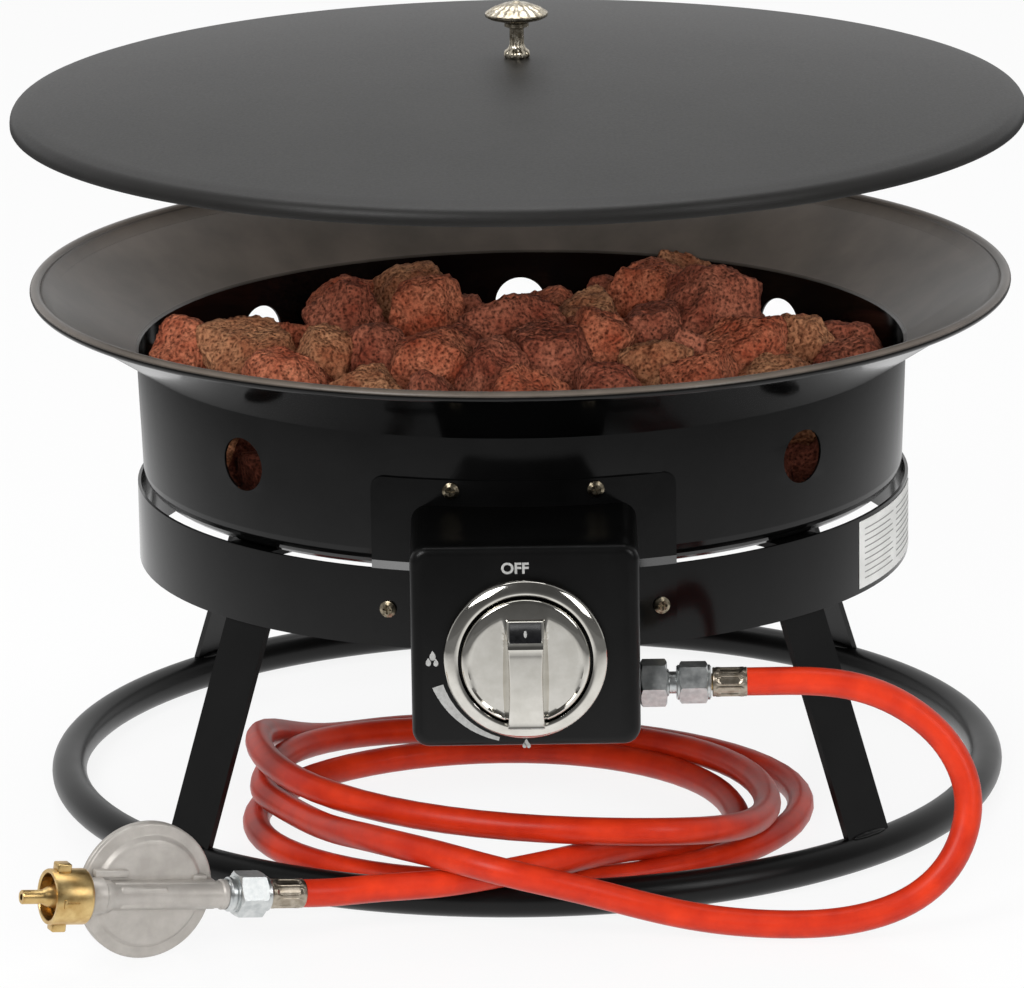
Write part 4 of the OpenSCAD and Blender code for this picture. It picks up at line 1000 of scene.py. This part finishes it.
def add_lid(coat):
    bm = bmesh.new()
    lid_r, edge, side, rise, fold, sheet = 248.5, 337.5, 8.0, 20.0, 6.0, 1.2
    dome = (lid_r ** 2 + rise ** 2) / (2 * rise)
    crown = edge + side + rise

    def height(r):
        return crown - dome + sqrt(dome ** 2 - r ** 2)

    outside = [(r, height(r)) for r in (0, 3, 8, 15, 25, 40, 60, 80, 100, 120, 140, 160, 180, 200, 215, 228, 236, 241)]
    outside += [
        (lid_r - fold + fold * cos(radians(a)), edge + side - fold + 0.4 + fold * sin(radians(a)))
        for a in range(84, -1, -12)
    ]
    outside += [(lid_r, edge + 0.5), (lid_r - 0.3, edge)]
    inside = [(r - (sheet if z < edge + side - fold + 0.5 else 0), z if z < edge + 1 else z - sheet) for r, z in outside]
    lathe(bm, outside + inside[::-1][1:], 192)
    keep("lid_dome", bm, coat, "lid", ("lid_shell",), 50)


def add_lid_knob(pewter):
    """The lid's turned knob: a notched foot, a ribbed neck, a collar and a thin crowned head."""
    base = 365.52
    bm = bmesh.new()
    lathe(bm, [
        (0, base + 0.02), (5.8, base + 0.02), (6.7, base + 0.8), (6.7, base + 2.2), (6.2, base + 3.2), (5.0, base + 4.0),
        (4.2, base + 5.0), (3.65, base + 6.4), (3.65, base + 10.5), (3.65, base + 14.4), (4.6, base + 15.0), (6.0, base + 15.5),
        (6.0, base + 17.2), (6.6, base + 17.8), (9.5, base + 18.6), (13.4, base + 19.6), (15.2, base + 20.6),
        (15.5, base + 21.3), (15.3, base + 22.2), (14.4, base + 22.9), (12.9, base + 23.8), (11.8, base + 24.6),
        (10.4, base + 24.9), (8.4, base + 25.8), (6.4, base + 26.6), (4.2, base + 27.1), (2.4, base + 27.2),
        (1.6, base + 27.9), (0, base + 28.0),
    ], 144)
    for v in bm.verts:
        z = v.co.z / MM - base
        turn = atan2(v.co.y, v.co.x)
        if 0.3 < z < 4.5:
            v.co.xy *= 1 - 0.14 * (0.5 + 0.5 * cos(8 * turn))
        elif 6.2 < z < 14.5:
            v.co.xy *= 1 - 0.14 * (0.5 + 0.5 * cos(10 * turn))
        elif 22.5 < z < 26.5:
            v.co.z -= 0.55 * MM * (0.5 + 0.5 * cos(18 * turn))
    keep("lid_knob_turned", bm, pewter, "lid", ("lid_knob",), 40)


def soften(node, material, angle=35):
    """A CAD node keeps its own mesh and takes a finish."""
    obj = NODES[node]
    obj.data.materials.clear()
    obj.data.materials.append(material)


def add_label_lines(ink):
    """Thin ruled lines on the blank label."""
    bm = bmesh.new()
    for row in range(9):
        for column in range(2):
            part = bmesh.new()
            z = 150.6 - 3.1 * row
            length = (11.0, 9.6, 10.6)[(row + column) % 3]
            start = -30.5 + 12.6 * column
            verts = [part.verts.new(Vector((191.42, 0, z + dz)) * MM) for dz in (-0.3, 0.3)]
            edge = part.edges.new(verts)
            bmesh.ops.spin(
                part, geom=verts + [edge], axis=(0, 0, 1), cent=(0, 0, 0), dvec=(0, 0, 0),
                angle=radians(length), steps=12, use_merge=False, use_duplicate=False,
            )
            part.transform(Matrix.Rotation(radians(start), 4, "Z"))
            bmesh.ops.solidify(part, geom=part.faces[:], thickness=0.05 * MM)
            merge(bm, part)
    bmesh.ops.recalc_face_normals(bm, faces=bm.faces)
    keep("label_ruled_lines", bm, ink)


# ---- Rocks ----

def rock_groups(bm):
    """The vertices of each separate rock."""
    left = set(bm.verts)
    groups = []
    while left:
        todo, group = [left.pop()], []
        while todo:
            v = todo.pop()
            group.append(v)
            for e in v.link_edges:
                other = e.other_vert(v)
                if other in left:
                    left.remove(other)
                    todo.append(other)
        groups.append(group)
    return groups


def pitted(place):
    """How far a rock's skin stands in or out at a place, in millimetres."""
    lumps = noise.fractal(place / (12 * MM), 0.8, 2.0, 5) * 1.7
    crust = noise.noise(place / (3.4 * MM)) * 0.7
    hole = noise.voronoi(place / (5.2 * MM))[0][0]
    return lumps + crust - 1.5 * max(0.0, 1 - hole / 0.42) - 0.2


# The vents in the back of the wall, which show over the rocks: x and y.
VENTS_BEHIND = ((0, 188), (-133, 133), (133, 133))


def sunk_for_vents(middle, top):
    """How far a rock lies lower so that a vent behind it shows over it, in millimetres."""
    sink = 0.0
    for x, y in VENTS_BEHIND:
        gap = y - middle.y / MM
        if abs(middle.x / MM - x) < 32 and 0 < gap < 200:
            sink = max(sink, top / MM - (202 + 0.2475 * gap))
    return sink


def add_rocks(node, material, cuts, facets=15):
    """Broken lava: the CAD rocks, chipped flat on random sides, finely divided, roughened and pitted."""
    bm = bmesh.new()
    bm.from_mesh(NODES[node].data)
    bmesh.ops.remove_doubles(bm, verts=bm.verts, dist=1e-6)
    bmesh.ops.triangulate(bm, faces=bm.faces)
    bmesh.ops.subdivide_edges(bm, edges=bm.edges, cuts=cuts, use_grid_fill=True)
    for group in rock_groups(bm):
        middle = sum((v.co for v in group), Vector()) / len(group)
        size = sum((v.co - middle).length for v in group) / len(group)
        noise.seed_set(1 + int(abs(middle.x * 7919 + middle.y * 104729) * 1000) % 100000)
        chips = [(noise.random_unit_vector(), size * (0.7 + 0.28 * noise.random())) for _ in range(facets)]
        for v in group:
            way = (v.co - middle).normalized()
            reach = (v.co - middle).length * 1.16
            for normal, depth in chips:
                lean = way.dot(normal)
                if lean > 0.05:
                    reach = min(reach, depth / lean)
            v.co = middle + way * (reach + pitted(middle + way * reach) * MM)
        sink = sunk_for_vents(middle, max(v.co.z for v in group)) * MM
        for v in group:
            v.co.z -= sink
    bmesh.ops.recalc_face_normals(bm, faces=bm.faces)
    return keep(f"{node}_porous", bm, material, replaces=(node,), smooth=60)


# ---- Stage and light ----


def add_stage():
    bm = bmesh.new()
    bmesh.ops.create_grid(bm, x_segments=1, y_segments=1, size=6.0)
    mesh = bpy.data.meshes.new("studio_floor")
    bm.to_mesh(mesh)
    bm.free()
    floor = bpy.data.objects.new("studio_floor", mesh)
    bpy.context.scene.collection.objects.link(floor)
    floor.location.z = -0.0002
    mesh.materials.append(studio_floor())


def add_lamp(name, place, aim, size, power):
    data = bpy.data.lights.new(name, "AREA")
    data.shape = "RECTANGLE"
    data.size, data.size_y = size
    data.energy = power
    lamp = bpy.data.objects.new(name, data)
    bpy.context.scene.collection.objects.link(lamp)
    way = Vector(aim) - Vector(place)
    lamp.matrix_world = Matrix.Translation(place) @ way.to_track_quat("-Z", "Y").to_matrix().to_4x4()
    return lamp


def add_light():
    """Soft light from all round, stronger behind, with two large boxes in front and above."""
    world = bpy.data.worlds.new("studio")
    bpy.context.scene.world = world
    world.use_nodes = True
    tree = world.node_tree
    tree.nodes.clear()
    way = add_node(tree, "ShaderNodeSeparateXYZ", {
        "Vector": add_node(tree, "ShaderNodeTexCoord").outputs["Generated"],
    })
    behind = add_node(tree, "ShaderNodeMapRange", {
        "Value": way.outputs["Y"], "From Min": -0.3, "From Max": 0.6, "To Min": 0.0, "To Max": 0.75,
    }).outputs["Result"]
    low = add_node(tree, "ShaderNodeMapRange", {
        "Value": way.outputs["Z"], "From Min": 0.05, "From Max": 0.4, "To Min": 0.14, "To Max": 0.08,
    }).outputs["Result"]
    path = add_node(tree, "ShaderNodeLightPath").outputs["Is Camera Ray"]
    fade = add_node(tree, "ShaderNodeMath", {0: behind, 1: low}, operation="ADD").outputs[0]
    level = add_node(tree, "ShaderNodeMath", {0: path, 1: fade}, operation="MAXIMUM").outputs[0]
    sky = add_node(tree, "ShaderNodeBackground", {"Color": (1, 1, 1, 1), "Strength": level})
    add_node(tree, "ShaderNodeOutputWorld", {"Surface": sky.outputs["Background"]})
    add_lamp("key_box", (-1.5, -2.0, 2.0), (0, 0, 0.2), (1.2, 1.2), 40)
    add_lamp("fill_box", (1.8, -1.8, 1.4), (0, 0, 0.15), (0.8, 1.2), 14)
    front = add_lamp("front_box", (0.0, -3.0, 1.0), (0, 0, 0.24), (1.4, 0.5), 62)
    front.visible_glossy = False
    add_lamp("top_box", (0, 0.5, 2.4), (0, 0, 0.2), (1.6, 1.6), 22)


# ---- Making ----

scene = bpy.context.scene
scene.view_settings.view_transform = "Standard"
add_camera()

rubber = hose_rubber()
hose, route, hose_length = add_hose(rubber)

powder = satin_powder_coat()
enamel = gloss_enamel()
lid_coat = lid_powder_coat()
chrome = polished_chrome()
zinc = bright_zinc()
brass = turned_brass()
alloy = die_cast_alloy()
crimp = crimped_steel()
steel = dull_steel()
ink = print_ink()
black = window_black()

fittings = add_fittings(zinc, crimp, brass)
regulator = add_regulator(alloy, brass, zinc)
tuple(route[0])

for node in ("leg_front_left", "leg_front_right", "leg_back_left", "leg_back_right"):
    soften(node, powder)
for node in ("fire_bowl", "support_band", "mounting_plate"):
    soften(node, enamel)
for node in ("leg_nuts", "plate_nuts", "lid_screw", "lid_washer"):
    soften(node, zinc)
screw_finish = waxed_zinc()
for node in ("leg_screws", "plate_screws", "valve_screws"):
    soften(node, screw_finish)
for node in ("valve_stem", "valve_body", "outlet_elbow", "gas_jet", "hose_nipples"):
    soften(node, brass)
for node in ("stem_collar", "stem_spring", "venturi_tube", "burner_ring", "burner_supports", "regulator_spring"):
    soften(node, steel)
for node in ("regulator_diaphragm", "nozzle_seal"):
    soften(node, black_rubber())
soften("blank_label", label_stock())

add_ring(powder)
add_weld_beads(powder)
add_rolled_rim(enamel)
add_box(powder)
add_bezel(chrome)
add_knob(chrome, black, ink)
add_prints(ink)
add_label_lines(ink)
add_lid(lid_coat)
add_lid_knob(antique_pewter())
add_rocks("rocks_red", lava("lava_red", "#a64f36", "#d88a68", "#4a2015"), 7)
add_rocks("rocks_tan", lava("lava_tan", "#a05f42", "#cf9870", "#552c1c"), 7)
add_rocks("rocks_dark", lava("lava_dark", "#8c4634", "#c0775d", "#3a1d16"), 7)
# The lower rocks take a darker copy of the lava colours: painted shade under the rocks above them.
add_rocks("rocks_lower", lava("lava_lower_painted_shade", "#5d3226", "#8c5040", "#25120e"), 3)

add_stage()
add_light()
